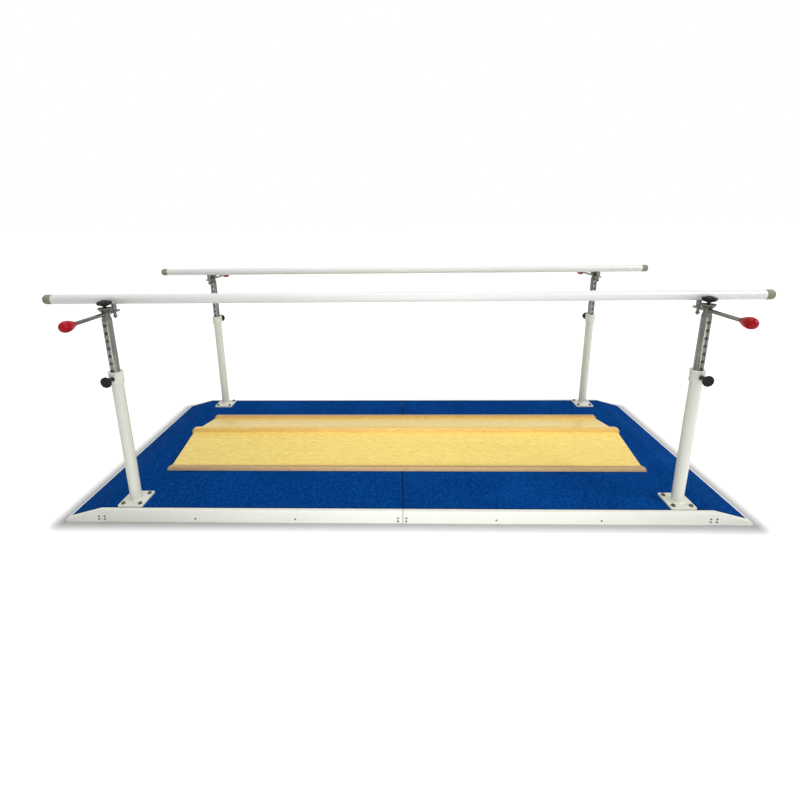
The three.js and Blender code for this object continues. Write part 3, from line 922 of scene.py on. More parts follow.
class GeometryRecipe(NodeBench):
    """A Geometry Nodes tree with named inputs, run once on a host mesh."""

    def __init__(self, label: str, **entries: str) -> None:
        """Starts a tree that takes a geometry, a finish and some named sizes.

        Args:
            label: Name of the tree.
            **entries: Type of each named input, such as Float.
        """
        super().__init__(bpy.data.node_groups.new(label, "GeometryNodeTree"))
        sockets = self.tree.interface
        sockets.new_socket("Geometry", in_out="INPUT", socket_type="NodeSocketGeometry")
        sockets.new_socket("Geometry", in_out="OUTPUT", socket_type="NodeSocketGeometry")
        self.identifiers: dict[str, str] = {}
        for name, kind in {**entries, "Finish": "Material"}.items():
            socket = sockets.new_socket(name, in_out="INPUT", socket_type=f"NodeSocket{kind}")
            self.identifiers[name] = socket.identifier
        self.given = self.node("NodeGroupInput").outputs

    def spread(self, points: Socket, thing: Socket, **inputs: object) -> Socket:
        """Sets an instance of a thing on every point."""
        inputs = {"Points": points, "Instance": thing, **inputs}
        return self.node("GeometryNodeInstanceOnPoints", inputs).outputs["Instances"]

    def close(self, geometry: Socket) -> None:
        """Makes instances real and sets the finish, as the last steps of the tree.

        Args:
            geometry: The geometry to hand out.
        """
        real = self.node("GeometryNodeRealizeInstances", {"Geometry": geometry}).outputs[0]
        coat = self.node("GeometryNodeSetMaterial", {"Geometry": real, "Material": self.given["Finish"]})
        self.node("NodeGroupOutput", {"Geometry": coat.outputs["Geometry"]})

    def run(self, host: bpy.types.Mesh, finish: Finish, **values: object) -> bpy.types.Mesh:
        """Runs the tree on a mesh.

        Args:
            host: The mesh that the tree reads.
            finish: Finish of the result.
            **values: Value of each named input.

        Returns:
            The result as a plain mesh.
        """
        carrier = put("carrier", host)
        modifier = carrier.modifiers.new("recipe", "NODES")
        modifier.node_group = self.tree
        for name, value in {**values, "Finish": finish.material()}.items():
            modifier[self.identifiers[name]] = value
        result = finished_mesh(carrier)
        carrier.modifiers.remove(modifier)
        bpy.data.objects.remove(carrier)
        return result


class FastenerField(GeometryRecipe):
    """Sets one fastener on every point of the host, facing the way that the point says."""

    def __init__(self) -> None:
        """Builds the tree."""
        super().__init__("fastener_field", Fastener="Object", Size="Float", Seed="Int")
        given = self.given
        facing = self.node("GeometryNodeInputNamedAttribute", {"Name": "facing"}, data_type="FLOAT_VECTOR")
        way = {"Vector": facing.outputs["Attribute"]}
        aim = self.node("FunctionNodeAlignRotationToVector", way, axis="Z")
        full_turn = {2: 0.0, 3: math.tau, "Seed": given["Seed"]}
        twist = self.node("FunctionNodeRandomValue", full_turn, data_type="FLOAT")
        spin = {"Axis": (0.0, 0.0, 1.0), "Angle": twist.outputs[1]}
        about = self.node("FunctionNodeAxisAngleToRotation", spin)
        both = {"Rotation": aim.outputs["Rotation"], "Rotate By": about.outputs["Rotation"]}
        turned = self.node("FunctionNodeRotateRotation", both, rotation_space="LOCAL").outputs["Rotation"]
        source = {"Object": given["Fastener"]}
        thing = self.node("GeometryNodeObjectInfo", source, transform_space="ORIGINAL").outputs["Geometry"]
        self.close(self.spread(given["Geometry"], thing, Rotation=turned, Scale=given["Size"]))

    def lay(
        self, spots: Sequence[tuple[Vector, Vector]], fastener: bpy.types.Mesh, finish: Finish, seed: int
    ) -> bpy.types.Mesh:
        """Sets a fastener on every spot.

        Args:
            spots: Place and outward direction of each fastener.
            fastener: Mesh of one, with its head towards +Z.
            finish: Its finish.
            seed: Seed of the turn of each about its own axis.

        Returns:
            All of them as one mesh.
        """
        host = bpy.data.meshes.new("fastener_spots")
        host.from_pydata([spot for spot, _ in spots], [], [])
        facing = host.attributes.new("facing", "FLOAT_VECTOR", "POINT")
        facing.data.foreach_set("vector", [part for _, way in spots for part in way])
        model = put("fastener_model", fastener)
        result = self.run(host, finish, Fastener=model, Size=1.0, Seed=seed)
        bpy.data.objects.remove(model)
        if "facing" in result.attributes:
            result.attributes.remove(result.attributes["facing"])
        return result


class HoleColumn(GeometryRecipe):
    """Drills a column of cross holes through both walls of an upright tube."""

    def __init__(self) -> None:
        """Builds the tree."""
        sizes = {"Holes": "Int", "Top": "Vector", "Step": "Vector", "Radius": "Float", "Depth": "Float"}
        super().__init__("hole_column", **sizes)
        given = self.given
        line = {"Count": given["Holes"], "Start Location": given["Top"], "Offset": given["Step"]}
        column = self.node("GeometryNodeMeshLine", line, mode="OFFSET").outputs["Mesh"]
        bit = {"Vertices": 24, "Radius": given["Radius"], "Depth": given["Depth"]}
        drill = self.node("GeometryNodeMeshCylinder", bit, fill_type="NGON").outputs["Mesh"]
        drills = self.spread(column, drill, Rotation=(math.pi / 2, 0.0, 0.0))
        real = self.node("GeometryNodeRealizeInstances", {"Geometry": drills}).outputs["Geometry"]
        pair = {"Mesh 1": given["Geometry"], "Mesh 2": real}
        cut = self.node("GeometryNodeMeshBoolean", pair, operation="DIFFERENCE", solver="EXACT")
        self.close(cut.outputs["Mesh"])


class ThreadCoil(GeometryRecipe):
    """Winds a thread on each point of the host, upwards from it."""

    def __init__(self) -> None:
        """Builds the tree."""
        super().__init__("thread_coil", Turns="Float", Radius="Float", Length="Float", Crest="Float")
        given = self.given
        path = {
            "Resolution": 20,
            "Rotations": given["Turns"],
            "Start Radius": given["Radius"],
            "End Radius": given["Radius"],
            "Height": given["Length"],
        }
        coil = self.node("GeometryNodeCurveSpiral", path).outputs["Curve"]
        edge = {"Resolution": 4, "Radius": given["Crest"]}
        crest = self.node("GeometryNodeCurvePrimitiveCircle", edge, mode="RADIUS").outputs["Curve"]
        sweep = {"Curve": coil, "Profile Curve": crest, "Fill Caps": True}
        skin = self.node("GeometryNodeCurveToMesh", sweep).outputs["Mesh"]
        self.close(self.spread(given["Geometry"], skin))


@dataclass
class Recipes:
    """The Geometry Nodes trees that the sub-assemblies share."""

    fasteners: FastenerField = field(default_factory=FastenerField)
    holes: HoleColumn = field(default_factory=HoleColumn)
    threads: ThreadCoil = field(default_factory=ThreadCoil)


# Fasteners


@dataclass(frozen=True)
class CrossScrew:
    """Pan-head screw with a cross recess."""

    radius: float = 0.0045
    height: float = 0.0022
    sunk: float = 0.0006
    rim: float = 0.0004
    recess: float = 0.0011
    depth: float = 0.0012
    seed: int = 7

    def mesh(self) -> bpy.types.Mesh:
        """Builds the screw with its seat at zero.

        Returns:
            Its mesh.
        """
        outline = [
            (0.0, -self.sunk),
            (self.radius, -self.sunk),
            (self.radius, self.rim),
            (self.radius * 0.8, self.height * 0.8),
            (0.0, self.height),
        ]
        head = bmesh.new()
        turn(head, outline, 20, rounding=0.0007, steps=2)
        slots = []
        for angle in (0.0, math.pi / 2):
            slots.append(bmesh.new())
            edge = rectangle(self.radius * 0.62, self.recess / 2)
            reach = (self.height - self.depth, self.height * 2)
            draw_out(slots[-1], edge, reach, Axis.Z, Matrix.Rotation(angle, 4, "Z"))
        return carved(head, *slots)


@dataclass(frozen=True)
class AnchorBolt:
    """Hexagon-head bolt on a washer."""

    across_flats: float = 0.013
    head: float = 0.0055
    washer_radius: float = 0.0095
    washer: float = 0.0016
    sunk: float = 0.0005
    edge: float = 0.0004
    crown: float = 0.0009
    seed: int = 11

    def mesh(self) -> bpy.types.Mesh:
        """Builds the bolt with the washer's seat at zero.

        Returns:
            Its mesh.
        """
        bm = bmesh.new()
        turn(bm, round_bar(self.washer_radius, -self.sunk, self.washer, self.edge, self.edge), 24, steps=2)
        top = self.washer + self.head
        flats = hexagon(self.across_flats)
        draw_out(bm, flats, (self.washer - 0.0003, top), Axis.Z, bevel=0.0007)
        crown = flats[0][0] * 0.72
        dome = [(0.0, top - 0.001), (crown, top - 0.001), (crown, top + 0.0006), (0.0, top + self.crown)]
        turn(bm, dome, 24, rounding=self.edge, steps=2)
        return as_mesh(bm, "anchor_bolt")


# Sub-assemblies


@dataclass
class Platform:
    """Ramped platform in two halves: panels, covering, side rails, ramp cheeks and nosings."""

    half_length: float = 1.5
    half_width: float = 0.61
    deck: float = 0.06
    ramp_run: float = 0.16
    tip: float = 0.015
    nose_height: float = 0.008
    nose_depth: float = 0.014
    nose_chamfer: float = 0.005
    rail: float = 0.020
    covering: float = 0.004
    covering_bend: float = 0.006
    joint: float = 0.0003
    edge: float = 0.0012
    single_screws: tuple[float, ...] = (-0.916, -0.472, 0.406, 0.858)
    single_level: float = 0.019
    middle_screws: tuple[float, ...] = (-0.021, 0.015)
    middle_levels: tuple[float, ...] = (0.012, 0.027)
    joint_screws: tuple[float, ...] = (1.321, 1.347)
    joint_levels: tuple[float, ...] = (0.016, 0.030)
    screw: CrossScrew = field(default_factory=CrossScrew)

    @property
    def flat_end(self) -> float:
        """Where the flat deck ends and the ramp starts."""
        return self.half_length - self.ramp_run

    @property
    def deck_edge(self) -> float:
        """Half the width of the covering."""
        return self.half_width - self.rail

    def ramp_height(self, x: float) -> float:
        """Height of the ramp's surface at a distance from the middle of the platform."""
        return self.deck - (self.deck - self.tip) * (x - self.flat_end) / self.ramp_run

    def foot_outline(self, start: float, roundings: Sequence[float]) -> list[Point]:
        """Outline of the ramp's side view from a place on the ramp to its foot.

        Args:
            start: Distance of its upper end from the middle of the platform.
            roundings: Rounding of each corner, from the lower inner one round by the foot.

        Returns:
            Distance, height and rounding of each corner.
        """
        chamfer = self.half_length - self.nose_chamfer
        corners = [
            (start, 0.0),
            (self.half_length, 0.0),
            (self.half_length, self.nose_height),
            (chamfer, self.ramp_height(chamfer)),
            (start, self.ramp_height(start)),
        ]
        return [(*corner, rounding) for corner, rounding in zip(corners, roundings)]

    @staticmethod
    def bar(
        outline: Sequence[Point],
        flip: int,
        reach: tuple[float, float],
        axis: Axis,
        corner_steps: int = 3,
        bevel: float = 0.0,
        bevel_steps: int = 2,
    ) -> bmesh.types.BMesh:
        """Makes a piece that has the same outline all along an axis.

        Args:
            outline: Its outline on the positive side of the platform.
            flip: Sign of the side that it is on.
            reach: Its two ends on the axis.
            axis: The axis.
            corner_steps: Parts of each rounding of the outline.
            bevel: Width of the easing of its ends.
            bevel_steps: Parts of that easing.

        Returns:
            The piece.
        """
        bm = bmesh.new()
        points = [(flip * across, level, rounding) for across, level, rounding in outline]
        ends = (min(reach), max(reach))
        draw_out(bm, points, ends, axis, corner_steps=corner_steps, bevel=bevel, bevel_steps=bevel_steps)
        return bm

    def build(self, recipes: Recipes) -> None:
        """Builds every piece of the platform.

        Args:
            recipes: The shared Geometry Nodes trees.
        """
        for side in Side:
            dress(f"deck_panel_{side.word}", RAW_PLY)
            dress(f"ramp_board_{side.word}", RAW_PLY)
            self.build_covering(side)
            self.build_nosing(side)
            for row in Row:
                self.build_rail(row, side)
                self.build_cheek(row, side)
        self.build_screws(recipes)

    def build_covering(self, side: Side) -> None:
        """Lays the covering of one half, over the flat deck and down its ramp.

        Args:
            side: The half.
        """
        ramp_end = self.half_length - self.nose_depth - self.joint
        ramp_top = self.ramp_height(ramp_end)
        low, seam = self.deck - self.covering, self.joint / 2
        outline = [
            (seam, low, 0.0),
            (self.flat_end, low, self.covering_bend),
            (ramp_end, ramp_top - self.covering, 0.0),
            (ramp_end, ramp_top, self.edge),
            (self.flat_end, self.deck, self.covering_bend),
            (seam, self.deck, self.edge),
        ]
        mat = self.bar(outline, side.sign, (-self.deck_edge, self.deck_edge), Axis.Y, 4, 0.0008)
        install(f"covering_{side.word}", mat, BLUE_DECK, PLATFORM, Slot.DECK_MAT, f"mat_{side.word}")

    def build_nosing(self, side: Side) -> None:
        """Fits the strip along the foot of one ramp.

        Args:
            side: End of the platform that it is on.
        """
        start = self.half_length - self.nose_depth
        outline = self.foot_outline(start, (0.0, 0.0008, 0.0015, 0.0015, 0.0008))
        strip = self.bar(outline, side.sign, (-self.deck_edge, self.deck_edge), Axis.Y)
        install(f"nosing_strip_{side.word}", strip, IVORY_STRIP, PLATFORM, Slot.NOSING, f"nosing_{side.word}")

    def build_rail(self, row: Row, side: Side) -> None:
        """Fits one of the four side rails.

        Args:
            row: Long side that it is on.
            side: Half that it is on.
        """
        outline = [
            (self.deck_edge, 0.0, 0.001),
            (self.half_width, 0.0, 0.0015),
            (self.half_width, self.deck, 0.0035),
            (self.deck_edge, self.deck, 0.001),
        ]
        reach, place = (side.sign * self.joint / 2, side.sign * self.flat_end), tag(row, side)
        rail = self.bar(outline, row.sign, reach, Axis.X, 4, 0.0010)
        install(f"rail_{place}", rail, IVORY_RAIL, PLATFORM, Slot.RAIL_PAINT, f"side_rail_{place}")

    def build_cheek(self, row: Row, side: Side) -> None:
        """Fits one of the four cheeks that close the ramps at the sides.

        Args:
            row: Long side that it is on.
            side: End that it is on.
        """
        outline = self.foot_outline(self.flat_end + self.joint, (0.0008, 0.0015, 0.0025, 0.003, 0.0012))
        reach, place = (row.sign * self.deck_edge, row.sign * self.half_width), tag(row, side)
        cheek = self.bar(outline, side.sign, reach, Axis.Y, 3, 0.0022, 3)
        install(f"cheek_{place}", cheek, IVORY_RAIL, PLATFORM, Slot.RAIL_PAINT, f"ramp_cheek_{place}")

    def build_screws(self, recipes: Recipes) -> None:
        """Drives the screws into the outer faces of rails and cheeks.

        Args:
            recipes: The shared Geometry Nodes trees.
        """
        places = [(x, self.single_level) for x in self.single_screws]
        places += [(x, z) for x in self.middle_screws for z in self.middle_levels]
        places += [(side.sign * x, z) for side in Side for x in self.joint_screws for z in self.joint_levels]
        spots = []
        for row in Row:
            out = Vector((0.0, row.sign, 0.0))
            spots += [(Vector((x, row.sign * self.half_width, z)), out) for x, z in places]
        screws = recipes.fasteners.lay(spots, self.screw.mesh(), ZINC_SCREW, self.screw.seed)
        install("rail_screws", screws, ZINC_SCREW, PLATFORM, Slot.ZINC)


@dataclass
class PostSize:
    """Sizes of a post, shared by the four corners."""

    plate: float = 0.111
    plate_thickness: float = 0.008
    plate_corner: float = 0.006
    bolt_inset: float = 0.017
    deck: float = 0.060
    tube: float = 0.024
    wall: float = 0.003
    bore: float = 0.0194
    collar: float = 0.0285
    lip: float = 0.030
    collar_bottom: float = 0.629
    lip_bottom: float = 0.677
    collar_top: float = 0.681
    pin_height: float = 0.655
    boss: float = 0.011
    boss_face: float = 0.0325
    boss_root: float = 0.006
    boss_step: float = 0.0016
    weld: float = 0.0042
    weld_root: float = 0.001
    weld_ripple: float = 0.010
    weld_ripples: int = 42


@dataclass(kw_only=True)
class RowFrame:
    """What the columns and the handrail of a row share: where columns stand, and their cross rods."""

    row: Row
    x: float = 1.216
    y: float = 0.533
    rod_height: float = 0.930
    rod_radius: float = 0.0075

    def stand(self, side: Side) -> Matrix:
        """Where a column stands; its local -Y points outwards."""
        spin = Matrix.Rotation(0.0 if self.row is Row.FRONT else math.pi, 4, "Z")
        return Matrix.Translation((side.sign * self.x, self.row.sign * self.y, 0.0)) @ spin

    def outwards(self, side: Side, height: float) -> Matrix:
        """Frame at a height on a column's axis, whose Z points outwards."""
        level = Matrix.Translation((0.0, 0.0, height))
        return self.stand(side) @ level @ Matrix.Rotation(math.pi / 2, 4, "X")


@dataclass(kw_only=True)
class Corner(RowFrame):
    """One of the four columns: post, mast, head, knobs and pin, built about its own axis."""

    side: Side
    post: PostSize = field(default_factory=PostSize)
    mast_radius: float = 0.019
    mast_wall: float = 0.0025
    mast_bottom: float = 0.365
    mast_top: float = 0.905
    hole_top: float = 0.8825
    hole_pitch: float = 0.0325
    hole_count: int = 10
    hole_radius: float = 0.0074
    head_neck: float = 0.0135
    head_rim: float = 0.027
    head_plug: float = 0.012
    head_flare: float = 0.024
    head_dish: float = 0.004
    rim_top: float = 0.955
    star_radius: float = 0.028
    star_hub: float = 0.011
    star_stem: float = 0.0055
    star_dome: float = 0.015
    star_hub_height: float = 0.004
    star_height: float = 0.022
    star_lobes: int = 7
    star_lobe_depth: float = 0.0035
    star_lobe_root: float = 0.0155
    hub_bottom: float = 0.962
    pin_radius: float = 0.0065
    pin_gap: float = 0.0005
    pin_knob_start: float = 0.0405
    pin_knob_length: float = 0.031
    pin_knob_radius: float = 0.0235
    pin_knob_neck: float = 0.0105
    pin_flutes: int = 10
    pin_flute_share: float = 0.055
    pin_flute_root: float = 0.0145

    @property
    def tag(self) -> str:
        """Row and side as node names have them."""
        return tag(self.row, self.side)

    @property
    def place(self) -> Matrix:
        """Where the column stands."""
        return self.stand(self.side)

    def build(self, recipes: Recipes) -> None:
        """Builds every piece of the column.

        Args:
            recipes: The shared Geometry Nodes trees.
        """
        self.build_post()
        self.build_pin_housing()
        self.build_mast(recipes)
        self.build_head()
        self.build_star_knob()
        self.build_pin_knob()

    def build_post(self) -> None:
        """Builds base plate, tube with its weld, and collar with the bore for the pin."""
        size = self.post
        top = size.deck + size.plate_thickness
        bm = bmesh.new()
        plate = rectangle(size.plate / 2, size.plate / 2, size.plate_corner)
        draw_out(bm, plate, (size.deck, top), Axis.Z, self.place, corner_steps=5, bevel=0.0011)
        base = size.deck + size.plate_thickness / 2
        beside_pin = size.boss * 0.9
        wall = [
            (size.tube, base, 0.0),
            (size.tube, size.collar_bottom, 0.0012),
            (size.collar, size.collar_bottom, 0.0022),
            (size.collar, size.pin_height - beside_pin, 0.0),
            (size.collar, size.pin_height + beside_pin, 0.0),
            (size.collar, size.lip_bottom, 0.0008),
            (size.lip, size.lip_bottom, 0.0008),
            (size.lip, size.collar_top, 0.0012),
            (size.bore, size.collar_top, 0.0008),
            (size.bore, size.collar_bottom, 0.0),
            (size.tube - size.wall, size.collar_bottom, 0.0),
            (size.tube - size.wall, base, 0.0),
        ]
        sleeve, drill = bmesh.new(), bmesh.new()
        turn(sleeve, wall, 56, self.place, ring=True)
        pin_bore = round_bar(self.pin_radius + PLAY, 0.0, 2 * size.collar)
        turn(drill, pin_bore, 40, self.outwards(self.side, size.pin_height))
        bm.from_mesh(carved(sleeve, drill))
        weld, root = size.weld, size.weld_root
        bead = [
            (size.tube - root, top - root),
            (size.tube + weld, top - root),
            (size.tube + weld * 0.72, top + weld * 0.42),
            (size.tube + weld * 0.30, top + weld * 0.85),
            (size.tube - root, top + weld * 1.15),
        ]

        def ripple(angle: float, radius: float) -> float:
            """Ripple of the weld bead along its run."""
            return 1.0 + size.weld_ripple * math.cos(size.weld_ripples * angle) * (radius > size.tube)

        turn(bm, bead, 4 * size.weld_ripples, self.place, ring=True, wave=ripple)
        install(f"column_post_{self.tag}", bm, IVORY_POST, PLATFORM, Slot.POST_PAINT, f"post_{self.tag}")

    def build_pin_housing(self) -> None:
        """Builds the threaded housing in the collar that guides the locking pin."""
        size = self.post
        bore, neck = self.pin_radius + PLAY, size.boss * 0.84
        root, step = size.collar - size.boss_root, size.collar + size.boss_step
        wall = [
            (bore, root),
            (size.boss, root, 0.0),
            (size.boss, step, 0.001),
            (neck, step, 0.0006),
            (neck, size.boss_face, 0.0009),
            (bore, size.boss_face),
        ]
        bm = bmesh.new()
        place = self.outwards(self.side, size.pin_height)
        turn(bm, wall, 44, place, ring=True, rounding=0.0006, steps=2)
        install(f"pin_housing_{self.tag}", bm, ZINC_ROD, PLATFORM, Slot.ZINC)

    def build_mast(self, recipes: Recipes) -> None:
        """Builds the zinc-plated inner tube and drills its locking holes.

        Args:
            recipes: The shared Geometry Nodes trees.
        """
        inner = self.mast_radius - self.mast_wall
        wall = round_tube(self.mast_radius, inner, self.mast_bottom, self.mast_top)
        bm = bmesh.new()
        turn(bm, wall, 72, self.place, ring=True, rounding=0.0006, steps=2)
        axis = self.place.to_translation()
        holes = {
            "Holes": self.hole_count,
            "Top": (axis.x, axis.y, self.hole_top),
            "Step": (0.0, 0.0, -self.hole_pitch),
            "Radius": self.hole_radius,
            "Depth": 4 * self.mast_radius,
        }
        mesh = recipes.holes.run(as_mesh(bm, "mast"), ZINC_TUBE, **holes)
        mesh.materials.clear()
        # Faces of the inner wall take the near-white bore finish, a painted light in the holes
        for face in mesh.polygons:
            out = Vector((face.center.x - axis.x, face.center.y - axis.y, 0.0))
            if out.length < inner + PLAY and out.dot(face.normal) < 0:
                face.material_index = 1
        body = f"mast_body_{self.tag}"
        install(f"inner_mast_{self.tag}", mesh, (ZINC_TUBE, PAINTED_LIGHT_BORE), body, Slot.ZINC, f"mast_{self.tag}")

    def build_head(self) -> None:
        """Builds the flared head with its cross bore and dished rim."""
        rim, neck, shoulder = self.head_rim, self.head_neck, self.mast_radius
        spigot, spread = shoulder - self.mast_wall - PLAY, rim - neck
        low, top, dish = self.mast_top, self.rim_top, self.rim_top - self.head_dish
        flare = top - self.head_flare
        bend = [
            (neck + 0.0008, flare - 0.004),
            (neck, flare),
            (neck + spread * 0.18, flare + 0.006),
            (neck + spread * 0.60, flare + 0.0132),
            (rim, dish),
        ]
        steps = 5
        profile = [
            (0.0, low - self.head_plug),
            (spigot, low - self.head_plug),
            (spigot, low),
            (shoulder, low, 0.0007),
            *smooth_through(bend, steps)[steps:-1],
            (rim, dish - 0.0001),
            (rim, dish + 0.0005),
            (rim, top, 0.0011),
            (rim - 0.003, top, 0.0009),
            (rim - 0.007, dish, 0.0014),
            (0.0, dish),
        ]
        head, cross = bmesh.new(), bmesh.new()
        turn(head, profile, 64, self.place)
        bore = round_bar(self.rod_radius + PLAY, -2 * rim, 2 * rim)
        turn(cross, bore, 40, self.outwards(self.side, self.rod_height))
        body, node = f"mast_body_{self.tag}", f"head_{self.tag}"
        install(f"mast_head_{self.tag}", carved(head, cross), ZINC_HEAD, body, Slot.ZINC, node, 32.0)

    def build_star_knob(self) -> None:
        """Builds the lobed clamping knob with its stem, hub and dome."""
        stem, hub = self.rod_height + self.rod_radius + PLAY, self.hub_bottom
        low, top = hub + self.star_hub_height, hub + self.star_height
        r, dome, root = self.star_radius, self.star_dome, self.star_lobe_root
        profile = [
            (0.0, stem),
            (self.star_stem, stem, 0.0006),
            (self.star_stem, hub, 0.0),
            (self.star_hub, hub, 0.0008),
            (self.star_hub, low, 0.0012),
            (r * 0.82, low, 0.003),
            (r, low + 0.005, 0.005),
            (r, top - 0.006, 0.005),
            (r * 0.80, top, 0.004),
            (dome, top - 0.0008, 0.0012),
            (dome * 0.9, top + 0.0014, 0.0010),
            (dome * 0.6, top + 0.0032, 0.002),
            (0.0, top + 0.004),
        ]

        def lobes(angle: float, radius: float) -> float:
            """Waves of the rim, fading out towards the hub and the dome."""
            share = min(max((radius - root) / (r - root), 0.0), 1.0)
            reach = share * share * (3 - 2 * share)
            wave = ((1 + math.cos(self.star_lobes * angle)) / 2) ** 1.4
            return 1.0 - self.star_lobe_depth / r * reach * wave

        bm = bmesh.new()
        turn(bm, profile, self.star_lobes * 14, self.place, steps=4, wave=lobes)
        body, node = f"star_knob_body_{self.tag}", f"star_knob_{self.tag}"
        install(f"clamp_knob_{self.tag}", bm, BLACK_KNOB, body, Slot.BLACK_PLASTIC, node, 30.0)

    def build_pin_knob(self) -> None:
        """Builds the locking pin with its fluted conical pull knob."""
        start, end = self.pin_knob_start, self.pin_knob_start + self.pin_knob_length
        r, root, tip = self.pin_knob_radius, self.pin_flute_root, self.mast_radius + self.pin_gap
        shaft = [
            (0.0, tip),
            (self.pin_radius * 0.9, tip, 0.001),
            (self.pin_radius, tip + 0.0025, 0.0),
            (self.pin_radius, start + 0.002, 0.0),
            (0.0, start + 0.002),
        ]
        knob = [
            (0.0, start),
            (self.pin_knob_neck, start, 0.0012),
            (self.pin_knob_neck + 0.0013, start + 0.006, 0.004),
            (r * 0.86, end - 0.0085, 0.004),
            (r, end - 0.0045, 0.002),
            (r, end - 0.0015, 0.0015),
            (r - 0.002, end, 0.0012),
            (r * 0.62, end, 0.0006),
            (r * 0.58, end - 0.0009, 0.0006),
            (r * 0.20, end - 0.0009, 0.0006),
            (r * 0.16, end - 0.0003, 0.0004),
            (0.0, end - 0.0003),
        ]

        def flutes(angle: float, radius: float) -> float:
            """Finger flutes round the rim of the knob."""
            share = min(max((radius - root) / (r - root), 0.0), 1.0)
            return 1.0 - self.pin_flute_share * share * ((1 + math.cos(self.pin_flutes * angle)) / 2) ** 3

        bm = bmesh.new()
        place = self.outwards(self.side, self.post.pin_height)
        turn(bm, shaft, 28, place, steps=2, material=1)
        turn(bm, knob, 12 * self.pin_flutes, place, wave=flutes)
        body, node = f"pin_body_{self.tag}", f"pin_knob_{self.tag}"
        install(f"pull_knob_{self.tag}", bm, (BLACK_KNOB, ZINC_ROD), body, Slot.BLACK_PLASTIC, node, 30.0)

    def bolt_spots(self) -> list[tuple[Vector, Vector]]:
        """Places and directions of the anchor bolts of the base plate.

        Returns:
            Four places on the plate's top, each with its upward direction.
        """
        reach, up = self.post.plate / 2 - self.post.bolt_inset, Vector((0.0, 0.0, 1.0))
        level = self.post.deck + self.post.plate_thickness
        corners = [(x * reach, y * reach, level) for x in (-1, 1) for y in (-1, 1)]
        return [(self.place @ Vector(corner), up) for corner in corners]


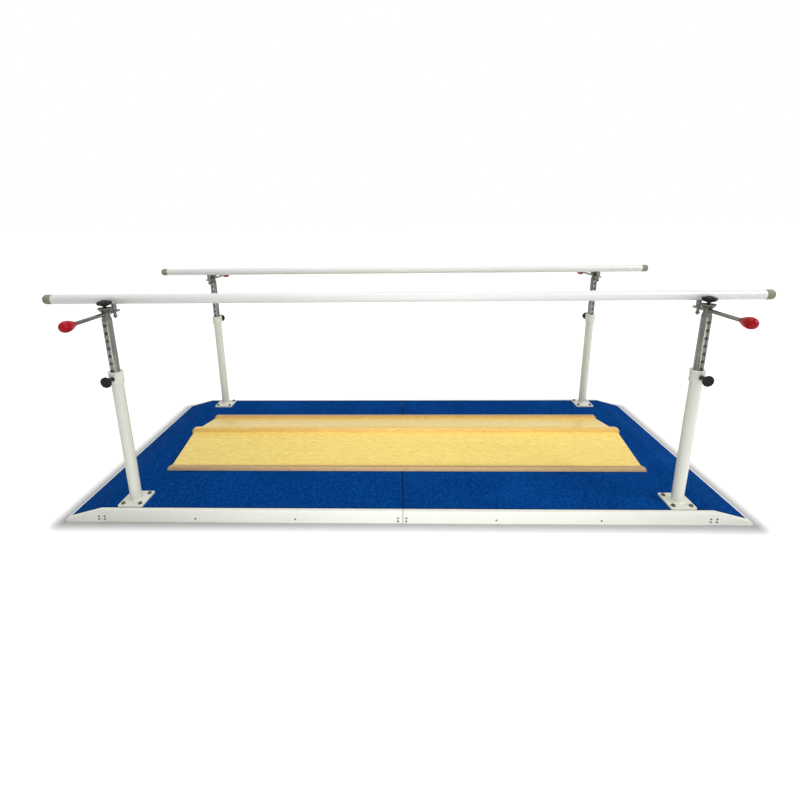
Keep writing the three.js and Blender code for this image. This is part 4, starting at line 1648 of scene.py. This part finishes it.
@dataclass(kw_only=True)
class Handrail(RowFrame):
    """One handrail with its end caps, and the rods, grips and bolts that carry it."""

    inset: float = 0.0575
    height: float = 0.981
    radius: float = 0.021
    wall: float = 0.0025
    end: float = 1.509
    cap: float = 0.038
    cap_rounding: float = 0.012
    plug: float = 0.022
    joint: float = 0.0003
    paddle_half: float = 0.015
    paddle_thickness: float = 0.008
    paddle_tip: float = 0.025
    paddle_root: float = 0.022
    paddle_blend_start: float = 0.014
    paddle_blend: float = 0.020
    shaft_inset: float = 0.012
    boss: float = 0.010
    boss_weld: float = 0.0014
    spacer: float = 0.006
    spacer_length: float = 0.015
    grip_reach: float = 0.249
    grip_length: float = 0.068
    grip_radius: float = 0.022
    grip_neck: float = 0.0105
    grip_socket: float = 0.014
    egg_shares: tuple[Point, ...] = (
        (0.16, 0.66),
        (0.34, 0.86),
        (0.54, 0.98),
        (0.70, 0.98),
        (0.86, 0.80),
        (0.96, 0.44),
    )
    nut_flats: float = 0.015
    nut_height: float = 0.007
    washer: float = 0.0014
    bolt: float = 0.004
    bolt_tail: float = 0.0045
    shank_reach: float = 0.006
    thread_turns: float = 4.0
    thread_length: float = 0.0042
    thread_crest: float = 0.00052

    @property
    def body(self) -> str:
        """Body that the whole handrail rides on."""
        return f"handrail_{self.row.word}"

    @property
    def paddle_low(self) -> float:
        """Height of the underside of the rods' flat ends."""
        return self.rod_height - self.paddle_thickness / 2

    def along_bar(self, side: Side) -> Matrix:
        """Frame on the handrail's axis whose Z points to one end."""
        centre = Matrix.Translation((0.0, self.row.sign * (self.y - self.inset), self.height))
        return centre @ Matrix.Rotation(side.sign * math.pi / 2, 4, "Y")

    def under_bar(self, side: Side) -> Matrix:
        """Upright frame where a rod meets the handrail."""
        return self.stand(side) @ Matrix.Translation((0.0, self.inset, 0.0))

    def build(self, recipes: Recipes) -> None:
        """Builds every piece of the handrail.

        Args:
            recipes: The shared Geometry Nodes trees.
        """
        self.build_bar()
        for side in Side:
            self.build_cap(side)
            self.build_rod(side)
            self.build_grip(side)
            self.build_bolt(side, recipes)

    def build_bar(self) -> None:
        """Builds the handrail's tube."""
        stop = self.end - self.cap
        wall = round_tube(self.radius, self.radius - self.wall, -stop, stop)
        bm = bmesh.new()
        turn(bm, wall, 72, self.along_bar(Side.RIGHT), ring=True, rounding=0.0006, steps=2)
        row = self.row.word
        install(f"hand_bar_{row}", bm, WHITE_BAR, self.body, Slot.BAR_COAT, f"bar_{row}")

    def build_cap(self, side: Side) -> None:
        """Builds the rounded plug in one end of the handrail.

        Args:
            side: The end.
        """
        start = self.end - self.cap + self.joint
        foot, plug = start - self.plug, self.radius - self.wall - PLAY
        profile = [
            (0.0, foot),
            (plug - 0.0006, foot, 0.001),
            (plug, foot + 0.004, 0.0),
            (plug, start, 0.0),
            (self.radius, start, 0.0008),
            *quarter_round(self.radius, self.end, self.cap_rounding, 9),
            (0.0, self.end),
        ]
        bm = bmesh.new()
        turn(bm, profile, 56, self.along_bar(side))
        ends = tag(self.row, side)
        install(f"bar_cap_{ends}", bm, KHAKI_CAP, self.body, Slot.CAP_PLASTIC, f"end_cap_{ends}")

    def paddle_sections(self) -> list[list[Vector]]:
        """Sections of the rod's inner end, from the round shaft to the flat rounded tip.

        Returns:
            Closed sections across the rod, in the column's frame.
        """
        thin, points = self.paddle_thickness / 2, 40
        start = self.inset - self.paddle_root - self.paddle_blend_start
        tip = self.inset + self.paddle_tip - self.paddle_half
        stations = []
        for step in range(8):
            t = step / 7
            ease = t * t * (3 - 2 * t)
            half = self.rod_radius + (self.paddle_half - self.rod_radius) * ease
            thick = self.rod_radius + (thin - self.rod_radius) * ease
            stations.append((start + self.paddle_blend * t, half, thick, 2.0 + 4.0 * ease))
        # The last section stops short of a point
        for step in range(10):
            angle = math.pi / 2 * step / 9.35
            y, half = tip + self.paddle_half * math.sin(angle), self.paddle_half * math.cos(angle)
            stations.append((y, half, thin, 6.0))
        sections = []
        for y, half, thick, power in stations:
            section = []
            for i in range(points):
                c, s = math.cos(math.tau * i / points), math.sin(math.tau * i / points)
                grow = (abs(c) ** power + abs(s) ** power) ** (-1 / power)
                section.append(Vector((half * c * grow, y, self.rod_height + thick * s * grow)))
            sections.append(section)
        return sections

    def build_rod(self, side: Side) -> None:
        """Builds the sliding rod with its flat end, boss and spacer.

        Args:
            side: End of the handrail that it carries.
        """
        bm = bmesh.new()
        shaft_start = self.paddle_root + self.shaft_inset - self.inset
        shaft = round_bar(self.rod_radius, shaft_start, self.grip_reach - self.grip_socket, head=0.001)
        turn(bm, shaft, 40, self.outwards(side, self.rod_height))
        loft(bm, self.paddle_sections(), self.stand(side))
        collar, weld = self.boss + self.boss_weld, self.rod_height + self.paddle_thickness / 2
        boss_top = self.height - math.sqrt(self.radius**2 - self.boss**2) + PLAY
        boss = [
            (0.0, self.rod_height),
            (collar, self.rod_height, 0.0),
            (collar, weld + 0.0006, 0.001),
            (self.boss, weld + 0.0020, 0.001),
            (self.boss, boss_top, 0.0),
            (0.0, boss_top),
        ]
        turn(bm, boss, 40, self.under_bar(side))
        spacer_low = self.paddle_low - self.spacer_length
        spacer = round_bar(self.spacer, spacer_low, self.paddle_low + 0.001, foot=0.0008)
        turn(bm, spacer, 32, self.under_bar(side), steps=2)
        ends = tag(self.row, side)
        install(f"sliding_rod_{ends}", bm, ZINC_ROD, self.body, Slot.ZINC, f"slide_rod_{ends}", 34.0)

    def build_grip(self, side: Side) -> None:
        """Builds the egg-shaped grip on the outer end of a rod.

        Args:
            side: End of the handrail that the rod carries.
        """
        start, bore = self.grip_reach - self.grip_length, self.rod_radius + PLAY
        belly = [(self.grip_radius * out, start + self.grip_length * along) for along, out in self.egg_shares]
        egg = smooth_through([(self.grip_neck, start), *belly, (0.0, self.grip_reach)], 6)
        mouth = [(0.0, start + 0.004), (bore, start + 0.004), (bore, start), (self.grip_neck - 0.0008, start)]
        bm = bmesh.new()
        turn(bm, mouth + egg[1:], 56, self.outwards(side, self.rod_height))
        ends = tag(self.row, side)
        install(f"egg_grip_{ends}", bm, RED_GRIP, self.body, Slot.RED_PLASTIC, f"grip_{ends}", 50.0)

    def build_bolt(self, side: Side, recipes: Recipes) -> None:
        """Builds washer, nut and threaded bolt tail below the flat end.

        Args:
            side: End of the handrail.
            recipes: The shared Geometry Nodes trees.
        """
        place = self.under_bar(side)
        top = self.paddle_low - self.spacer_length - self.joint
        low = top - self.nut_height
        tail, shank = low - self.bolt_tail, self.bolt * 0.86
        bm = bmesh.new()
        flats = hexagon(self.nut_flats)
        draw_out(bm, flats, (low, top - self.washer + 0.0002), Axis.Z, place, bevel=0.0009)
        washer = round_tube(flats[0][0] * 1.02, self.bolt * 0.9, top - self.washer, top)
        turn(bm, washer, 32, place, ring=True, rounding=0.0004, steps=2)
        shank_top = self.height - self.radius + self.wall + self.shank_reach
        turn(bm, round_bar(shank, tail, shank_top, 0.0007, 0.0007), 28, place, steps=2)
        host = bpy.data.meshes.new("thread_foot")
        host.from_pydata([place @ Vector((0.0, 0.0, tail + 0.0006))], [], [])
        thread = {
            "Turns": self.thread_turns,
            "Radius": shank,
            "Length": self.thread_length,
            "Crest": self.thread_crest,
        }
        bm.from_mesh(recipes.threads.run(host, ZINC_SCREW, **thread))
        ends = tag(self.row, side)
        install(f"rail_bolt_{ends}", bm, ZINC_SCREW, self.body, Slot.ZINC, f"bar_bolt_{ends}")


@dataclass
class CorrectionBoard:
    """Loose wooden board: a ridge between two sloping panels, each ending in a low lip."""

    body: str = "correction_board"
    length: float = 2.408
    width: float = 0.610
    x: float = 0.006
    y: float = 0.008
    base: float = 0.060
    lip_width: float = 0.020
    lip_height: float = 0.023
    rounding: float = 0.024
    easing: float = 0.003
    panel: float = 0.010
    low_edge: float = 0.010
    high_edge: float = 0.064
    panel_inset: float = 0.010
    ridge_width: float = 0.020
    ridge_top: float = 0.088

    def build(self) -> None:
        """Builds every piece of the board."""
        dress("board_spine", RAW_PLY)
        lip = (self.base, self.base + self.lip_height)
        for row in Row:
            self.build_panel(row)
            centre = self.y + row.sign * (self.width - self.lip_width) / 2
            self.build_batten(f"board_lip_{row.word}", lip, self.lip_width, centre, LIP_WOOD)
        ridge = (self.base + self.high_edge - self.panel, self.base + self.ridge_top)
        self.build_batten("board_ridge", ridge, self.ridge_width, self.y, TRIM_WOOD)

    def build_panel(self, row: Row) -> None:
        """Builds one of the two sloping panels.

        Args:
            row: Long side that it slopes down to.
        """
        end = self.length / 2 - self.panel_inset
        outer, inner = self.width / 2 - self.lip_width, self.ridge_width / 2
        low, high = self.base + self.low_edge, self.base + self.high_edge
        corners = [(outer, low - self.panel), (outer, low), (inner, high), (inner, high - self.panel)]
        points = [(self.y + row.sign * y, z) for y, z in corners]
        bm = bmesh.new()
        draw_out(bm, points, (self.x - end, self.x + end), Axis.X, bevel=0.0009)
        word = row.word
        install(f"slope_panel_{word}", bm, PANEL_WOOD, self.body, Slot.BOARD_PANEL, f"board_panel_{word}")

    def build_batten(
        self, node: str, levels: tuple[float, float], width: float, centre: float, finish: Finish
    ) -> None:
        """Builds a batten with rounded upper ends and eased edges.

        Args:
            node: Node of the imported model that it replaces.
            levels: Height of its underside and of its top.
            width: Its width.
            centre: Y of its middle.
            finish: Its finish.
        """
        half, (bottom, top) = self.length / 2, levels
        rounding = min(self.rounding, top - bottom - 2 * self.easing)
        arc = quarter_round(half, top, rounding, 8)
        points = [(-half, bottom), (half, bottom), *arc, *((-x, z) for x, z in reversed(arc))]
        points = [(self.x + x, z) for x, z in points]
        bm = bmesh.new()
        reach = (centre - width / 2, centre + width / 2)
        draw_out(bm, points, reach, Axis.Y, bevel=self.easing * 0.8, bevel_steps=4)
        install(f"{node}_batten", bm, finish, self.body, Slot.BOARD_TRIM, node)


# Studio


@dataclass(frozen=True)
class SoftLamp:
    """Soft square lamp that hangs at a spot and faces a point."""

    name: str
    spot: Triple
    aim: Triple
    size: float
    power: float
    spread: float = 180.0

    def hang(self) -> None:
        """Hangs the lamp."""
        data = bpy.data.lights.new(self.name, "AREA")
        data.size, data.energy, data.spread = self.size, self.power, math.radians(self.spread)
        lamp = put(self.name, data)
        lamp.location = self.spot
        lamp.rotation_euler = (Vector(self.spot) - Vector(self.aim)).to_track_quat("Z", "Y").to_euler()
        lamp.visible_camera = False


KEY_LAMP = SoftLamp("key_lamp", (12.9, -5.7, 9.4), (0.0, 0.0, 0.5), size=6.9, power=985.0)
TOP_LAMP = SoftLamp("top_lamp", (-0.6, -0.6, 15.0), (-0.6, -0.6, 0.0), size=11.6, power=1010.0)
FRONT_LAMP = SoftLamp("front_lamp", (0.3, -3.0, 0.35), (0.2, -0.6, -0.15), size=1.6, power=9.4, spread=75.0)


@dataclass
class Studio:
    """Pale floor, soft lamps and the camera at the photograph's place."""

    focal_px: float = 443.0
    frame_px: float = 800.0
    sensor: float = 36.0
    principal: tuple[float, float] = (391.1, 325.5)
    stand: Triple = (0.0007, -2.2859, 1.3037)
    pitch: float = 13.775
    yaw: float = -1.448
    roll: float = 0.654
    farthest: float = 200.0
    lamps: tuple[SoftLamp, ...] = (KEY_LAMP, TOP_LAMP, FRONT_LAMP)
    world_level: float = 0.29
    floor_reach: float = 60.0
    floor_tone: float = 0.80
    shadow_tone: float = 0.44
    floor_glow: float = 0.9
    shadow_width: float = 0.10
    footprint: tuple[float, float] = (1.5, 0.61)

    def build(self) -> None:
        """Sets up camera, floor, world and lamps."""
        self.build_camera()
        self.build_floor()
        self.build_world()
        for lamp in self.lamps:
            lamp.hang()
        bpy.context.scene.view_settings.view_transform = "Standard"
        LOG.info("studio: camera, floor, world and %d lamps", len(self.lamps))

    def build_camera(self) -> None:
        """Stands the camera where the photograph was taken."""
        yaw, pitch, roll = (math.radians(v) for v in (self.yaw, self.pitch, self.roll))
        ahead = Vector((math.sin(yaw) * math.cos(pitch), math.cos(yaw) * math.cos(pitch), -math.sin(pitch)))
        level = Vector((math.cos(yaw), -math.sin(yaw), 0.0))
        down = ahead.cross(level)
        right = level * math.cos(roll) + down * math.sin(roll)
        below = -level * math.sin(roll) + down * math.cos(roll)
        data = bpy.data.cameras.new("photo_camera")
        data.sensor_width = self.sensor
        data.lens = self.sensor * self.focal_px / self.frame_px
        data.shift_x = (self.frame_px / 2 - self.principal[0]) / self.frame_px
        data.shift_y = (self.principal[1] - self.frame_px / 2) / self.frame_px
        data.clip_end = self.farthest
        camera = put("photo_camera", data)
        turn_to = Matrix((right, -below, -ahead)).transposed().to_4x4()
        camera.matrix_world = Matrix.Translation(self.stand) @ turn_to
        bpy.context.scene.camera = camera

    def build_floor(self) -> None:
        """Lays a wide pale floor that keeps the object's shadow."""
        mesh = bpy.data.meshes.new("studio_floor")
        corners = [(x, y, 0.0) for x, y, _ in rectangle(self.floor_reach, self.floor_reach)]
        mesh.from_pydata(corners, [], [range(len(corners))])
        mesh.materials.append(self.floor_paper())
        put("studio_floor", mesh)

    def floor_paper(self) -> bpy.types.Material:
        """Makes the floor's paper, which looks white but for a darker band near the platform: real shadow
        there, deepened by painted shadow, as its glow fades out near the platform and the paper seen directly
        is darker than the paper that lights.

        Returns:
            Its material.
        """
        material = bpy.data.materials.new("studio_floor_paper")
        material.use_nodes = True
        bench = NodeBench(material.node_tree)
        vector = bench.node("ShaderNodeTexCoord").outputs["Object"]
        zero = (0.0, 0.0, 0.0)
        # How far a place lies outside the platform along each axis
        for operation, other in (("ABSOLUTE", zero), ("SUBTRACT", (*self.footprint, 0.0)), ("MAXIMUM", zero)):
            pair = {0: vector, 1: other}
            vector = bench.node("ShaderNodeVectorMath", pair, operation=operation).outputs["Vector"]
        away = bench.node("ShaderNodeVectorMath", {0: vector}, operation="LENGTH").outputs["Value"]
        # Painted shadow: the glow that whitens the floor fades out within this width of the platform
        fade = bench.span(away, 0.0, self.floor_glow, 0.0, self.shadow_width, interpolation_type="SMOOTHSTEP")
        seen = self.seen_directly(bench)
        # Painted shadow: the paper seen directly is darker than the paper that lights
        tone = bench.span(seen, self.floor_tone, self.shadow_tone, 0.0, 1.0)
        matt = bench.node("ShaderNodeBsdfDiffuse", {"Color": tone})
        glow = bench.node("ShaderNodeEmission", {"Strength": bench.step("MULTIPLY", fade, seen)})
        both = bench.node("ShaderNodeAddShader", {0: matt.outputs[0], 1: glow.outputs[0]})
        bench.node("ShaderNodeOutputMaterial", {"Surface": both.outputs[0]})
        return material

    @staticmethod
    def seen_directly(bench: NodeBench) -> Socket:
        """Tells rays of the camera, of gloss and of glass, where it gives 1, from those that light."""
        path = bench.node("ShaderNodeLightPath").outputs
        clear = bench.step("MAXIMUM", path["Is Camera Ray"], path["Is Glossy Ray"])
        return bench.step("MAXIMUM", clear, path["Is Transmission Ray"])

    def build_world(self) -> None:
        """Makes the world white to look at, and a plain soft light on the object."""
        world = bpy.data.worlds.new("studio_world")
        bpy.context.scene.world = world
        world.use_nodes = True
        bench = NodeBench(world.node_tree)
        lit = bench.node("ShaderNodeBackground", {"Color": WHITE, "Strength": self.world_level})
        shown = bench.node("ShaderNodeBackground", {"Color": WHITE})
        choice = {0: self.seen_directly(bench), 1: lit.outputs[0], 2: shown.outputs[0]}
        mixed = bench.node("ShaderNodeMixShader", choice)
        bench.node("ShaderNodeOutputWorld", {"Surface": mixed.outputs[0]})


def main() -> None:
    """Builds the studio and every sub-assembly in order."""
    logging.basicConfig(level=logging.INFO, format="%(name)s %(message)s")
    Studio().build()
    recipes = Recipes()
    Platform().build(recipes)
    corners = [Corner(row=row, side=side) for row in Row for side in Side]
    for corner in corners:
        corner.build(recipes)
    spots = [spot for corner in corners for spot in corner.bolt_spots()]
    anchor = AnchorBolt()
    bolts = recipes.fasteners.lay(spots, anchor.mesh(), ZINC_SCREW, anchor.seed)
    install("anchor_bolts", bolts, ZINC_SCREW, PLATFORM, Slot.ZINC)
    for row in Row:
        Handrail(row=row).build(recipes)
    CorrectionBoard().build()


if __name__ == "__main__":
    main()
